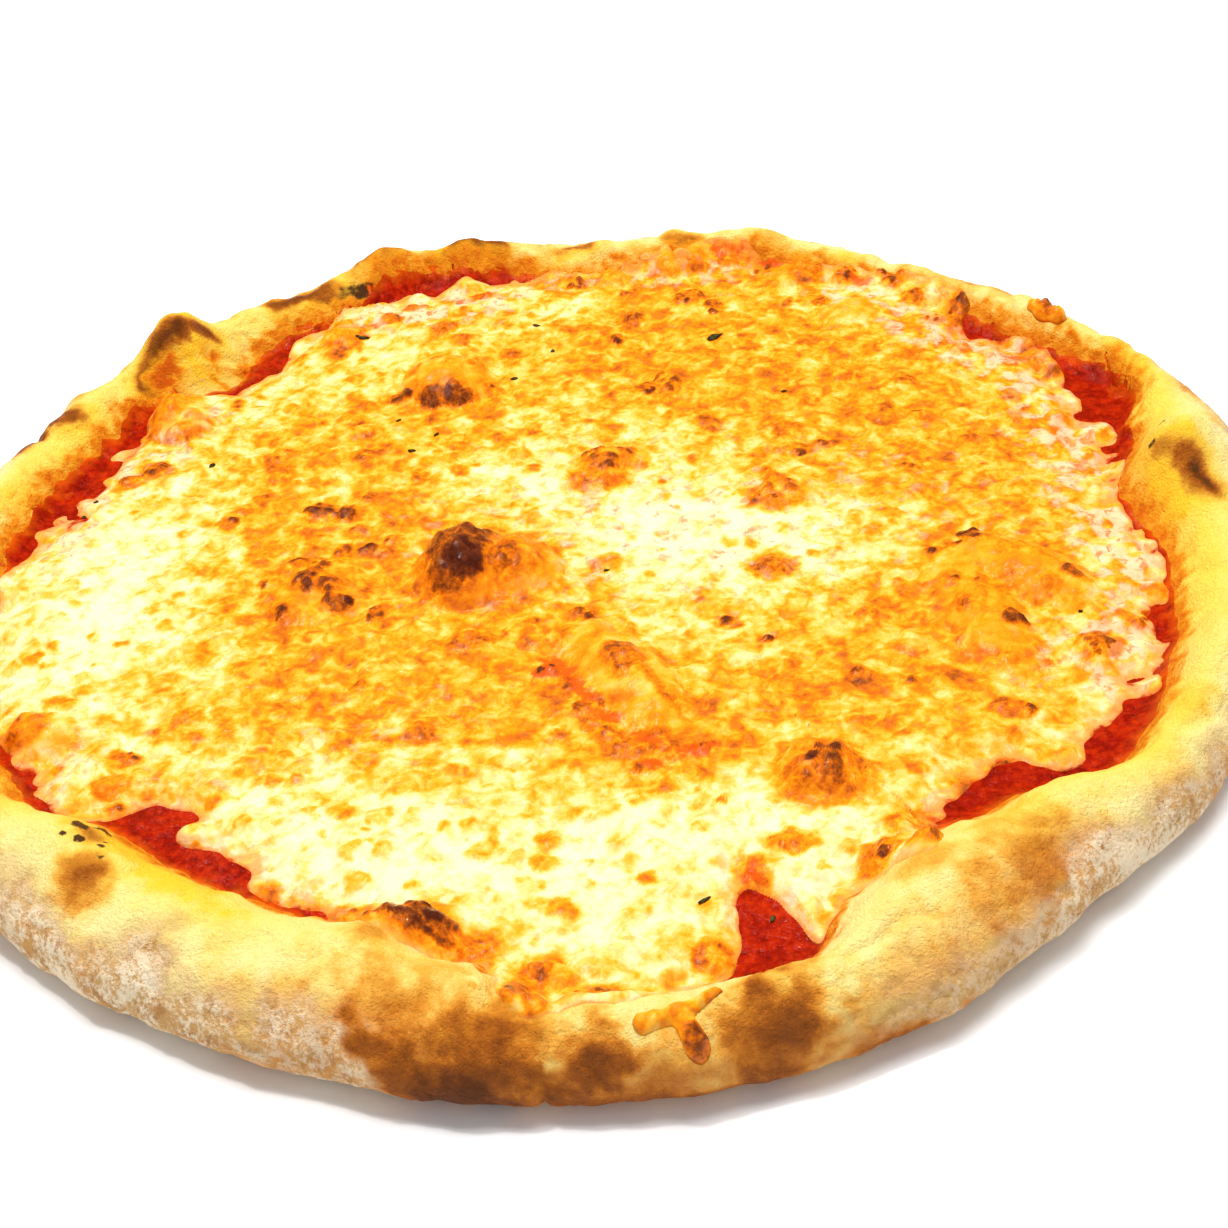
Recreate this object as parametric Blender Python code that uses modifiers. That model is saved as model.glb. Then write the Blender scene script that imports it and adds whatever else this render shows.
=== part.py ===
"""A whole cheese pizza, about 330 mm across, stretched and baked by hand.

The crust is a flat bed inside a thick uneven rim.  A thin coat of tomato sauce
lies on the bed and climbs the inner slope of the rim.  A sheet of melted
cheese lies on the sauce and ends a little short of the sauce's edge, more so
in a few bays where the sauce shows.  Two scraps of melted cheese lie on the
rim.  The pizza lies on z = 0 with its middle at the origin, and -Y is the side
with the deepest brown on the rim.

Lengths below are in millimetres and angles in degrees, counted from +X towards
+Y.  The mesh points are scaled to metres when they are written.
"""

import bmesh
import bpy
import numpy as np
from mathutils import Vector
from mathutils.bvhtree import BVHTree

MM = 0.001
SIDES = 120             # sides of every ring of the pizza
BED = 4.0               # thickness of the dough under the sauce
GAP = 0.3               # clearance kept between touching layers
SAUCE = 1.2             # thickness of the sauce
SAUCE_EDGE = 0.6        # thickness of the sauce at its edge
CHEESE = 2.6            # thickness of the cheese
CHEESE_EDGE = 1.0       # thickness of the cheese at its edge
CHEESE_TAPER = 0.9      # the cheese thins from this share of its radius outwards
CHEESE_MARGIN = 3.0     # bare sauce between the cheese and the dough
SLOPE_START = 6.0       # how far inside the sauce's edge the rim begins
CREST_SHARE = 0.42      # where the crest is, from the sauce's edge outwards
BELLY_SHARE = 0.38      # height of the widest part of the rim, of the crest's
FOOT_INSET = 10.0       # how far the rim overhangs its foot
SLOPE_POWER = 1.6       # above 1 the slope starts flat and steepens
FLAT_SHARES = (0.88, 0.94)      # rings inside the cheese's edge, of its radius
SLOPE_RING = 5.0        # a ring this far inside the sauce's edge
CREST_STEPS = (0.33, 0.67, 1)   # rings from the sauce's edge to the crest
WALL_ANGLES = (18, 36, 54, 72, 90)      # rings from the crest to the belly
UNDER_ANGLES = (30, 60, 90)     # rings from the belly to the foot
CHEESE_RINGS = 20

# The rim all the way round: angle, outer radius, radius of the sauce's edge,
# height of the crest.
RIM = np.array([
    (0, 169, 135, 18), (9, 168, 146, 17), (18, 166, 158, 14), (35, 163, 149, 14),
    (50, 160, 152, 12), (62, 160, 149, 13), (75, 159, 148, 12), (88, 157, 138, 14),
    (98, 159, 148, 14), (108, 161, 153, 14), (120, 160, 146, 14), (133, 162, 149, 14),
    (142, 164, 154, 14), (152, 165, 148, 15), (163, 166, 150, 15), (197, 166, 149, 16),
    (210, 166, 147, 17), (221, 166, 135, 19), (238, 165, 132, 20), (250, 164, 131, 20),
    (258, 165, 136, 19), (265, 165, 147, 17), (284, 165, 147, 17), (291, 165, 133, 19),
    (298, 162, 127, 20), (308, 160, 132, 19), (320, 162, 145, 16), (335, 165, 144, 16),
    (348, 168, 142, 17),
], float)

# Bays in the cheese's edge: angle, half width, depth.
BAYS = (
    (6, 6, 6), (21, 7, 17), (91, 5, 3), (104, 8, 6), (130, 5, 11), (162, 9, 13),
    (206, 6, 6), (223, 4, 10), (231, 5, 6), (284.5, 4, 26), (303, 6, 8), (316, 9, 13),
    (341, 5, 5), (353, 8, 8),
)

# Bubbles and dents of the rim: angle, radius, half length along the rim, half
# width across it, height.
RIM_BUBBLES = (
    (2, 149, 12, 11, 7), (67, 156, 10, 8, 4), (75, 148, 8, 10, 3), (101, 152, 8, 7, 4),
    (111, 157, 10, 8, 5), (137, 153, 12, 11, 10), (149, 157, 9, 8, 2),
    (222, 150, 13, 10, 2), (250, 130, 9, 8, 4), (262, 152, 6, 12, -1.5),
    (281, 154, 13, 10, 2.5), (300, 148, 8, 10, 1.5), (333, 154, 12, 9, 4),
)

# Blisters and ridges of the cheese: x, y, half length, half width, turn, height.
CHEESE_BLISTERS = (
    (-24, -9, 15, 13, 0, 10), (-36, 78, 11, 9, 0, 7), (9, -56, 29, 9, -66, 5),
    (103, -28, 16, 9, -42, 6), (90, -42, 21, 8, 100, 4.5), (46, -90, 9, 8, 0, 4),
    (-66, -9, 12, 11, 0, 4.5), (8, 34, 12, 8, 20, 3.5), (51, 14, 10, 8, 0, 3),
    (-110, 76, 11, 9, -50, 4.5), (83, 100, 10, 8, 0, 4), (-39, -120, 9, 8, 0, 4),
    (-125, -53, 8, 7, 0, 4),
)

# Small swells all round: waves in a turn, phase, share of the swell.
SWELLS = ((7, 10, 0.4), (11, 200, 0.35), (17, 75, 0.25))
RIM_SWELL = 0.8         # of the rim's radius and height
CHEESE_SWELL = 0.5      # of the sheet of cheese
BUBBLE_START = 0.9      # rim bubbles fade in from this share of the cheese
BUBBLE_FADE = 8.0
DOME_POWER = 0.8        # below 1 a blister's sides are steep

# Scraps of cheese on the rim.  Each is an oval with one lobe: the lobe's angle
# is counted from the oval's long axis, and its reach is a share of the oval.
SCRAP_ON_FRONT = dict(
    x=11, y=-154, length=9.5, width=3.3, turn=16, height=2, lobe_angle=-80, lobe_reach=1.9
)
SCRAP_AT_BACK = dict(
    x=134, y=80, length=6.5, width=3.4, turn=-52, height=3, lobe_angle=20, lobe_reach=0.25
)
LOBE_WIDTH = 24
SCRAP_SIDES = 20
SCRAP_ROWS = 8
SCRAP_CLEARANCE = 0.6
SCRAP_EDGE = 0.5        # thickness of a scrap at its edge

DEGREES = np.arange(SIDES) * 360 / SIDES


def around(column, degrees):
    """One column of RIM at any angle, with a smooth step from row to row."""
    angles = np.append(RIM[:, 0], RIM[0, 0] + 360)
    values = np.append(RIM[:, column], RIM[0, column])
    degrees = np.mod(degrees, 360)
    row = np.searchsorted(angles, degrees, side="right") - 1
    step = (degrees - angles[row]) / (angles[row + 1] - angles[row])
    return values[row] + (values[row + 1] - values[row]) * step**2 * (3 - 2 * step)


def swell(degrees):
    """A slow wave round the pizza, between -1 and 1."""
    waves = [share * np.sin(np.radians(count * degrees + phase)) for count, phase, share in SWELLS]
    return np.sum(waves, axis=0)


def outer_radius(degrees):
    return around(1, degrees) + RIM_SWELL * swell(degrees)


def sauce_radius(degrees):
    return around(2, degrees)


def crest_height(degrees):
    return around(3, degrees) + RIM_SWELL * swell(degrees + 50)


def crest_radius(degrees):
    inner = sauce_radius(degrees)
    return inner + (outer_radius(degrees) - inner) * CREST_SHARE


def cheese_radius(degrees):
    """The cheese's edge: a little inside the sauce's, and more in each bay."""
    radius = sauce_radius(degrees) - CHEESE_MARGIN
    for angle, half_width, depth in BAYS:
        away = np.mod(degrees - angle + 180, 360) - 180
        radius = radius - depth * np.exp(-((away / half_width) ** 2))
    return radius


def rim_bubbles(radius, degrees):
    """Height that the bubbles add to the rim."""
    added = 0
    for angle, middle, along, across, height in RIM_BUBBLES:
        away = np.mod(degrees - angle + 180, 360) - 180
        spread = (np.radians(away) * middle / along) ** 2 + ((radius - middle) / across) ** 2
        added = added + height * np.exp(-spread)
    start = BUBBLE_START * cheese_radius(degrees)
    return added * np.clip((radius - start) / BUBBLE_FADE, 0, 1)


def dough_top(radius, degrees):
    """Height of the dough from the flat bed up to the crest of the rim."""
    start = sauce_radius(degrees) - SLOPE_START
    climb = np.clip((radius - start) / (crest_radius(degrees) - start), 0, 1)
    rise = (crest_height(degrees) - BED) * np.sin(np.pi / 2 * climb) ** SLOPE_POWER
    return BED + rise + rim_bubbles(radius, degrees)


def blisters(x, y):
    """Height that the blisters and ridges add to the cheese."""
    added = 0
    for middle_x, middle_y, length, width, turn, height in CHEESE_BLISTERS:
        cos, sin = np.cos(np.radians(turn)), np.sin(np.radians(turn))
        along = ((x - middle_x) * cos + (y - middle_y) * sin) / length
        across = ((y - middle_y) * cos - (x - middle_x) * sin) / width
        dome = height * np.clip(1 - along**2 - across**2, 0, 1) ** DOME_POWER
        added = np.maximum(added, dome)
    return added


def shared_radii():
    """The rings that dough, sauce and cheese have in common, so that their faces stay parallel."""
    cheese, sauce = cheese_radius(DEGREES), sauce_radius(DEGREES)
    between = np.maximum((cheese + sauce) / 2, sauce - SLOPE_RING)
    flat = [share * cheese for share in FLAT_SHARES]
    return flat + [cheese, between, sauce]


def crust_section():
    """Radius and height of each ring of the crust, over the top, round the rim and under it."""
    inner, crest, outer = sauce_radius(DEGREES), crest_radius(DEGREES), outer_radius(DEGREES)
    top = shared_radii() + [inner + (crest - inner) * share for share in CREST_STEPS]
    rings = [(radius, dough_top(radius, DEGREES)) for radius in top]
    height = crest_height(DEGREES)
    belly = BELLY_SHARE * height
    for angle in np.radians(WALL_ANGLES):
        radius = crest + (outer - crest) * np.sin(angle)
        bubble = rim_bubbles(radius, DEGREES) * np.cos(angle)
        rings.append((radius, belly + (height - belly) * np.cos(angle) + bubble))
    for angle in np.radians(UNDER_ANGLES):
        radius = outer - FOOT_INSET * (1 - np.cos(angle))
        rings.append((radius, belly * (1 - np.sin(angle))))
    return rings


def sauce_section():
    """The sauce lies on the dough, one gap above it."""
    radii = shared_radii()
    lower = [(radius, dough_top(radius, DEGREES) + GAP) for radius in radii]
    depths = (SAUCE, SAUCE, SAUCE, SAUCE, SAUCE_EDGE)
    upper = [(radius, height + depth) for (radius, height), depth in zip(lower, depths)]
    return upper + lower[::-1]


def cheese_section():
    """The cheese lies on the sauce, one gap above it, and swells into blisters."""
    edge = cheese_radius(DEGREES)
    sides = np.radians(DEGREES)
    rings = []
    for share in np.append(np.linspace(0.05, 0.95, CHEESE_RINGS), (0.985, 1)):
        radius = share * edge
        taper = np.clip((share - CHEESE_TAPER) / (1 - CHEESE_TAPER), 0, 1) ** 2
        depth = CHEESE + (CHEESE_EDGE - CHEESE) * taper
        relief = blisters(radius * np.cos(sides), radius * np.sin(sides))
        waves = CHEESE_SWELL * swell(DEGREES + 260 * share) * share * (1 - taper)
        surface = dough_top(radius, DEGREES) + GAP + SAUCE + GAP + depth
        rings.append((radius, surface + relief + waves))
    for radius in shared_radii()[2::-1]:
        rings.append((radius, dough_top(radius, DEGREES) + GAP + SAUCE + GAP))
    return rings


def material(name, colour, roughness):
    made = bpy.data.materials.new(name)
    made.use_nodes = True
    shader = made.node_tree.nodes["Principled BSDF"]
    shader.inputs["Base Color"].default_value = (*colour, 1)
    shader.inputs["Roughness"].default_value = roughness
    shader.inputs["Metallic"].default_value = 0
    return made


def turned(name, section, collection, look):
    """A solid turned from its mean section, then each ring pulled to its own radius and height."""
    radii = np.array([radius for radius, height in section])
    heights = np.array([height for radius, height in section])
    mean = np.column_stack([radii.mean(axis=1), heights.mean(axis=1)])
    profile = np.vstack([(0, mean[0, 1]), mean, (0, mean[-1, 1])])
    points = [(radius * MM, 0, height * MM) for radius, height in profile]
    mesh = bpy.data.meshes.new(name + "_section")
    mesh.from_pydata(points, [(i, i + 1) for i in range(len(points) - 1)], [])
    spun = bpy.data.objects.new(name + "_section", mesh)
    collection.objects.link(spun)
    screw = spun.modifiers.new("Screw", "SCREW")
    screw.axis = "Z"
    screw.steps = screw.render_steps = SIDES
    screw.use_merge_vertices = True
    screw.merge_threshold = 0.0001
    bpy.context.view_layer.update()
    graph = bpy.context.evaluated_depsgraph_get()
    solid = bpy.data.meshes.new_from_object(spun.evaluated_get(graph))
    bpy.data.objects.remove(spun)
    pull_rings(solid, mean, radii, heights)
    solid.name = name
    split_quads(solid)
    solid.materials.clear()
    solid.materials.append(look)
    solid.shade_smooth()
    made = bpy.data.objects.new(name, solid)
    collection.objects.link(made)
    return made


def pull_rings(mesh, mean, radii, heights):
    """Moves every point of a turned mesh from its mean ring to that ring's place at its angle."""
    points = np.empty(len(mesh.vertices) * 3)
    mesh.vertices.foreach_get("co", points)
    points = points.reshape(-1, 3) / MM
    flat = np.hypot(points[:, 0], points[:, 1])
    degrees = np.degrees(np.arctan2(points[:, 1], points[:, 0]))
    side = np.round(degrees / 360 * SIDES).astype(int) % SIDES
    distance = np.hypot(flat[:, None] - mean[:, 0], points[:, 2, None] - mean[:, 1])
    ring = distance.argmin(axis=1)
    radius = np.where(flat < 0.1, 0, radii[ring, side])
    height = np.where(flat < 0.1, points[:, 2], heights[ring, side])
    turn = np.radians(DEGREES[side])
    moved = np.column_stack([radius * np.cos(turn), radius * np.sin(turn), height])
    mesh.vertices.foreach_set("co", (moved * MM).ravel())
    mesh.update()


def split_quads(mesh):
    """Splits each quad across its shorter diagonal, so that facing layers split alike."""
    work = bmesh.new()
    work.from_mesh(mesh)
    bmesh.ops.triangulate(work, faces=work.faces[:], quad_method="SHORT_EDGE")
    bmesh.ops.recalc_face_normals(work, faces=work.faces[:])
    work.to_mesh(mesh)
    work.free()


def scrap(name, shape, crust, collection, look):
    """A ball flattened into a scrap of melted cheese that follows the rim below it."""
    work = bmesh.new()
    bmesh.ops.create_uvsphere(work, u_segments=SCRAP_SIDES, v_segments=SCRAP_ROWS, radius=1)
    below = BVHTree.FromObject(crust, bpy.context.evaluated_depsgraph_get())
    cos, sin = np.cos(np.radians(shape["turn"])), np.sin(np.radians(shape["turn"]))
    for point in work.verts:
        away = np.hypot(point.co.x, point.co.y)
        angle = np.arctan2(point.co.y, point.co.x)
        off_lobe = np.mod(np.degrees(angle) - shape["lobe_angle"] + 180, 360) - 180
        reach = 1 + shape["lobe_reach"] * np.exp(-((off_lobe / LOBE_WIDTH) ** 2))
        along = away * reach * np.cos(angle) * shape["length"]
        across = away * reach * np.sin(angle) * shape["width"]
        x = shape["x"] + along * cos - across * sin
        y = shape["y"] + along * sin + across * cos
        rim = below.ray_cast(Vector((x * MM, y * MM, 0.1)), Vector((0, 0, -1)))[0]
        above = SCRAP_CLEARANCE + SCRAP_EDGE + shape["height"] * max(point.co.z, 0)
        if point.co.z < -0.1:
            above = SCRAP_CLEARANCE
        point.co = (x * MM, y * MM, rim.z + above * MM)
    bmesh.ops.triangulate(work, faces=work.faces[:])
    bmesh.ops.recalc_face_normals(work, faces=work.faces[:])
    mesh = bpy.data.meshes.new(name)
    work.to_mesh(mesh)
    work.free()
    mesh.materials.append(look)
    mesh.shade_smooth()
    made = bpy.data.objects.new(name, mesh)
    collection.objects.link(made)
    return made


def build():
    for old in list(bpy.data.objects):
        bpy.data.objects.remove(old)
    pizza = bpy.data.collections.new("cheese_pizza")
    bpy.context.scene.collection.children.link(pizza)
    baked = material("baked_dough", (0.80, 0.52, 0.20), 0.75)
    tomato = material("tomato_sauce", (0.52, 0.055, 0.012), 0.3)
    melted = material("melted_cheese", (0.90, 0.60, 0.17), 0.35)
    toasted = material("toasted_cheese", (0.45, 0.13, 0.03), 0.4)
    crust = turned("crust", crust_section(), pizza, baked)
    turned("sauce", sauce_section(), pizza, tomato)
    turned("cheese", cheese_section(), pizza, melted)
    scrap("cheese_on_front_rim", SCRAP_ON_FRONT, crust, pizza, toasted)
    scrap("cheese_on_back_rim", SCRAP_AT_BACK, crust, pizza, toasted)


build()
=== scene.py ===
# %% [markdown]
# # A whole cheese pizza
#
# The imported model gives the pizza's plain solids: crust, sauce, cheese and two scraps of cheese
# on the rim.  This file gives each of them a fine surface and a baked finish.  A pizza's look is
# mostly colour that follows its relief: every blister of cheese is browner on top, the rim is
# brown where it swelled towards the heat and yellow where oil ran over it.  So the relief and the
# browning are worked out together, as numpy functions of a place on the pizza, and the browning
# is stored on the mesh as an attribute that the materials read.

# %% Load the frame
import itertools

import bpy
import numpy as np
from mathutils import Euler, Matrix, Vector


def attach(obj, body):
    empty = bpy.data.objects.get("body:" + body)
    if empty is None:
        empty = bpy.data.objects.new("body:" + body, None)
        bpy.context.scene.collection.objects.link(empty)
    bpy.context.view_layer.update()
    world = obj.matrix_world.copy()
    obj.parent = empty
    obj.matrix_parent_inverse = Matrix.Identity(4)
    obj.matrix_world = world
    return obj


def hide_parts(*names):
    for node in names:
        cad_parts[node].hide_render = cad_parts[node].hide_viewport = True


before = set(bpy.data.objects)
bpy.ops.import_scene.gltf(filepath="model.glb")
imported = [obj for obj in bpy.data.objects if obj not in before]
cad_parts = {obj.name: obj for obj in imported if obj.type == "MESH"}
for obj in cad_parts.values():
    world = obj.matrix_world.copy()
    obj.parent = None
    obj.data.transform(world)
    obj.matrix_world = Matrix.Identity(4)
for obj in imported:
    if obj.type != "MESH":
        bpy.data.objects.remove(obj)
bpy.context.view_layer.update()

print("nodes:", sorted(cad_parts))

# %% [markdown]
# ## The shape that every layer shares
#
# A hand-stretched pizza isn't round.  Its outline, the edge of the sauce and the height of the
# rim are given at some thirty angles, in millimetres, with a smooth step from one to the next.
# These are the same values as the solids have, so the fine surfaces lie where the solids lie.

# %% The rim all the way round
MM = 0.001
# Thickness of the dough under the sauce, of the sauce and of the cheese.
BED, SAUCE, CHEESE = 4.0, 1.2, 2.6
# The cheese ends, and the dough starts to rise, this far inside the sauce's edge.
CHEESE_MARGIN, SLOPE_START = 3.0, 6.0
SLOPE_POWER = 1.6
# Where the crest is between the sauce's edge and the outside, and how high up it the belly is.
CREST_SHARE, BELLY_SHARE = 0.42, 0.38
FOOT_INSET = 10.0

# Angle, outer radius, radius of the sauce's edge, height of the crest.
RIM = np.array([
    (0, 169, 135, 18), (9, 168, 146, 17), (18, 166, 158, 14), (35, 163, 149, 14),
    (50, 160, 152, 12), (62, 160, 149, 13), (75, 159, 148, 12), (88, 157, 138, 14),
    (98, 159, 148, 14), (108, 161, 153, 14), (120, 160, 146, 14), (133, 162, 149, 14),
    (142, 164, 154, 14), (152, 165, 148, 15), (163, 166, 150, 15), (197, 166, 149, 16),
    (210, 166, 147, 17), (221, 166, 135, 19), (238, 165, 132, 20), (250, 164, 131, 20),
    (258, 165, 136, 19), (265, 165, 147, 17), (284, 165, 147, 17), (291, 165, 133, 19),
    (298, 162, 127, 20), (308, 160, 132, 19), (320, 162, 145, 16), (335, 165, 144, 16),
    (348, 168, 142, 17),
], float)

# Bays in the cheese's edge: angle, half width, depth.
BAYS = (
    (6, 6, 6), (21, 7, 17), (91, 5, 3), (104, 8, 6), (130, 5, 11), (162, 9, 13), (206, 6, 6),
    (223, 4, 10), (231, 5, 6), (284.5, 4, 26), (303, 6, 8), (316, 9, 13), (341, 5, 5),
    (353, 8, 8),
)

# Bubbles and dents of the rim: angle, radius, half length, half width, height.
RIM_BUBBLES = (
    (2, 149, 12, 11, 7), (67, 156, 10, 8, 4), (75, 148, 8, 10, 3), (101, 152, 8, 7, 4),
    (111, 157, 10, 8, 5), (137, 153, 12, 11, 10), (149, 157, 9, 8, 2), (222, 150, 13, 10, 2),
    (250, 130, 9, 8, 4), (262, 152, 6, 12, -1.5), (281, 154, 13, 10, 2.5), (300, 148, 8, 10, 1.5),
    (333, 154, 12, 9, 4),
)
# Slow waves: how many there are round the rim, phase, share; and their height.
SWELLS = ((7, 10, 0.4), (11, 200, 0.35), (17, 75, 0.25))
RIM_SWELL = 0.8
# The swell of the height runs ahead of the radius's by this angle.
SWELL_LEAD = 50
# The rim's bubbles fade in over this width, from this share of the cheese's radius.
FADE_IN, FADE_FROM = 8, 0.9
print(len(RIM), "places round the rim, mean outer radius", RIM[:, 1].mean(), "mm")


# %% Radii and heights at any angle
def around(column, degrees):
    """A column of RIM at any angle: neighbours a and b blend as a + (b - a)(3t^2 - 2t^3)."""
    angles = np.append(RIM[:, 0], RIM[0, 0] + 360)
    values = np.append(RIM[:, column], RIM[0, column])
    degrees = np.mod(degrees, 360)
    row = np.searchsorted(angles, degrees, side="right") - 1
    step = (degrees - angles[row]) / (angles[row + 1] - angles[row])
    return values[row] + (values[row + 1] - values[row]) * step**2 * (3 - 2 * step)


def swell(degrees):
    """A slow wave round the pizza: three sines of the angle, between -1 and 1."""
    waves = [share * np.sin(np.radians(count * degrees + phase)) for count, phase, share in SWELLS]
    return sum(waves)


def outer_radius(degrees):
    return around(1, degrees) + RIM_SWELL * swell(degrees)


def sauce_radius(degrees):
    return around(2, degrees)


def crest_height(degrees):
    return around(3, degrees) + RIM_SWELL * swell(degrees + SWELL_LEAD)


def crest_radius(degrees):
    inner = sauce_radius(degrees)
    return inner + (outer_radius(degrees) - inner) * CREST_SHARE


def turned_by(degrees, angle):
    """How far an angle lies from another, from -180 to 180."""
    return np.mod(degrees - angle + 180, 360) - 180


def bell(degrees, angle, half_width):
    """exp(-t^2) for the turn t from an angle, counted in half widths."""
    return np.exp(-((turned_by(degrees, angle) / half_width) ** 2))


def cheese_radius(degrees):
    """A margin inside the sauce's edge, less a bell curve for each bay."""
    radius = sauce_radius(degrees) - CHEESE_MARGIN
    for angle, half_width, depth in BAYS:
        radius = radius - depth * bell(degrees, angle, half_width)
    return radius


def rim_bubbles(radius, degrees):
    """The sum of a bell of each bubble's height, faded in from under the cheese outwards."""
    added = 0
    for angle, middle, along, across, height in RIM_BUBBLES:
        run = np.radians(turned_by(degrees, angle)) * middle / along
        added = added + height * np.exp(-(run**2) - ((radius - middle) / across) ** 2)
    return added * np.clip((radius - FADE_FROM * cheese_radius(degrees)) / FADE_IN, 0, 1)


def dough_top(radius, degrees):
    """The bed, then a rise to the crest as the sine of the climb to a power, plus bubbles."""
    start = sauce_radius(degrees) - SLOPE_START
    climb = np.clip((radius - start) / (crest_radius(degrees) - start), 0, 1)
    rise = (crest_height(degrees) - BED) * np.sin(np.pi / 2 * climb) ** SLOPE_POWER
    return BED + rise + rim_bubbles(radius, degrees)


def rim_top(radius, degrees):
    """The dough's height on both sides of the crest: past it, the upper part of an ellipse."""
    crest = crest_radius(degrees)
    across = np.clip((radius - crest) / (outer_radius(degrees) - crest), 0, 1)
    height = crest_height(degrees)
    belly = BELLY_SHARE * height
    fall = np.sqrt(1 - across**2)
    outside = belly + (height - belly) * fall + rim_bubbles(radius, degrees) * fall
    return np.where(radius > crest, outside, dough_top(radius, degrees))


def polar(x, y):
    """Radius and angle in degrees of a place on the pizza."""
    return np.hypot(x, y), np.degrees(np.arctan2(y, x))


crests = crest_height(np.arange(360.0))
print("crest from", crests.min().round(1), "to", crests.max().round(1), "mm high")

# %% [markdown]
# ## Unevenness
#
# Nothing on a pizza repeats, so every surface gets noise.  Blender's noise texture could shape
# it through a modifier, but then the browning couldn't know where the lumps are.  Gradient noise
# in numpy gives one array of values that lifts the surface and browns it too.


# %% Gradient noise on arrays
NOISE_GAIN = 1.6  # brings the noise's range close to -1 to 1


def noise(points, size, seed):
    """Gradient noise: a random direction at each corner of a lattice of the given size, dotted
    with the offset from that corner, blended by 6t^5 - 15t^4 + 10t^3 along each axis."""
    place = points / size
    cell = np.floor(place).astype(int)
    part = place - cell
    fade = part**3 * (part * (part * 6 - 15) + 10)
    random = np.random.default_rng(seed)
    shuffle = random.permutation(256)
    directions = random.normal(size=(256, 3))
    directions /= np.linalg.norm(directions, axis=1)[:, None]
    total = np.zeros(points.shape[:-1])
    for corner in itertools.product((0, 1), repeat=3):
        key = np.zeros(points.shape[:-1], int)
        for axis in range(3):
            key = shuffle[(key + cell[..., axis] + corner[axis]) & 255]
        weight = np.prod(np.where(corner, fade, 1 - fade), axis=-1)
        total += weight * np.sum((part - corner) * directions[key], axis=-1)
    return total * NOISE_GAIN


def rough(points, size, octaves, seed):
    """Octaves of noise, each half as large and half as strong as the one before."""
    return sum(noise(points, size / 2**k, seed + k) / 2**k for k in range(octaves))


def smooth(value, low, high):
    """0 below low, 1 above high, and 3t^2 - 2t^3 between them."""
    t = np.clip((value - low) / (high - low), 0, 1)
    return t * t * (3 - 2 * t)


def flat_place(x, y):
    """The points of a plan, at height 0, for noise that doesn't change with the height."""
    return np.stack([x, y, np.zeros(x.shape)], -1)


def moved(x, y, along, across, turn):
    """The place x, y moved along and across an axis that is turned by some degrees."""
    cos, sin = np.cos(np.radians(turn)), np.sin(np.radians(turn))
    return x + along * cos - across * sin, y + along * sin + across * cos


sample = rough(np.random.default_rng(1).uniform(0, 90, (4000, 3)), 9, 3, 5)
print("noise spread", sample.std().round(2), "range", sample.min().round(2), sample.max().round(2))

# %% [markdown]
# ## From grids to meshes
#
# Crust and sauce are closed shells of rings, from a point on the axis, out over the top, and back
# underneath to the axis.  A grid of rings and columns makes such a shell with no seam, because the
# last column joins the first, and both ends close in a fan.


# %% Meshes from arrays
def add_piece(name, points, faces, paints):
    """A mesh object at the origin from points in millimetres, triangles, and painted values."""
    mesh = bpy.data.meshes.new(name)
    mesh.from_pydata(points * MM, [], faces)
    for paint, values in paints.items():
        layer = mesh.attributes.new(paint, "FLOAT", "POINT")
        layer.data.foreach_set("value", np.ascontiguousarray(values, dtype=np.float32))
    mesh.shade_smooth()
    piece = bpy.data.objects.new(name, mesh)
    bpy.context.scene.collection.objects.link(piece)
    size = np.ptp(points, axis=0).round(1)
    print(name, len(points), "points", len(faces), "triangles", size, "mm")
    return piece


def triangles(*corners):
    """One triangle for each place in three equal arrays of point numbers."""
    return np.stack(corners, -1).reshape(-1, 3)


def cell_faces(a, b, c, d):
    """Two triangles, abc and acd, for each cell of a grid."""
    return np.concatenate([triangles(a, b, c), triangles(a, c, d)])


def ring_faces(rings, columns, start=0):
    """The cells between neighbouring rings, with the last column joined to the first."""
    row, column = np.meshgrid(np.arange(rings - 1), np.arange(columns), indexing="ij")
    near = start + row * columns + column
    next_near = start + row * columns + (column + 1) % columns
    return cell_faces(near, near + columns, next_near + columns, next_near)


def fan_faces(ring, middle, outward):
    """Triangles from one middle point to each side of a ring."""
    following = np.roll(ring, -1)
    pair = (ring, following) if outward else (following, ring)
    return triangles(np.full(len(ring), middle), *pair)


def shell(name, grid, paints):
    """A closed shell from a grid of rings by columns, with paints for each point of the grid."""
    rings, columns = grid.shape[:2]
    ends = [grid[0].mean(axis=0), grid[-1].mean(axis=0)]
    points = np.concatenate([grid.reshape(-1, 3), ends])
    count = rings * columns
    faces = np.concatenate([
        ring_faces(rings, columns),
        fan_faces(np.arange(columns), count, True),
        fan_faces(np.arange(count - columns, count), count + 1, False),
    ])
    values = {
        paint: np.concatenate([value.ravel(), [value[0].mean(), value[-1].mean()]])
        for paint, value in paints.items()
    }
    return add_piece(name, points, faces, values)


def outward(grid):
    """Unit normals of a grid: the cross product of its differences along both parameters."""
    around_it = np.roll(grid, -1, axis=1) - np.roll(grid, 1, axis=1)
    along_it = np.gradient(grid, axis=0)
    normal = np.cross(along_it, around_it)
    return normal / (np.linalg.norm(normal, axis=-1, keepdims=True) + 1e-9)


# %% [markdown]
# ## The crust
#
# The rim is a swollen tube of dough.  Its section is drawn ring by ring: the bed, the inner slope,
# the wall that rolls over to the belly, the tuck under to the foot, and the flat underside.  Then
# each point moves along its own normal by noise: slow lumps, small bumps, and a scatter of gas
# bubbles under the skin.  The underside keeps its height, so that it still lies flat.

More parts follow.
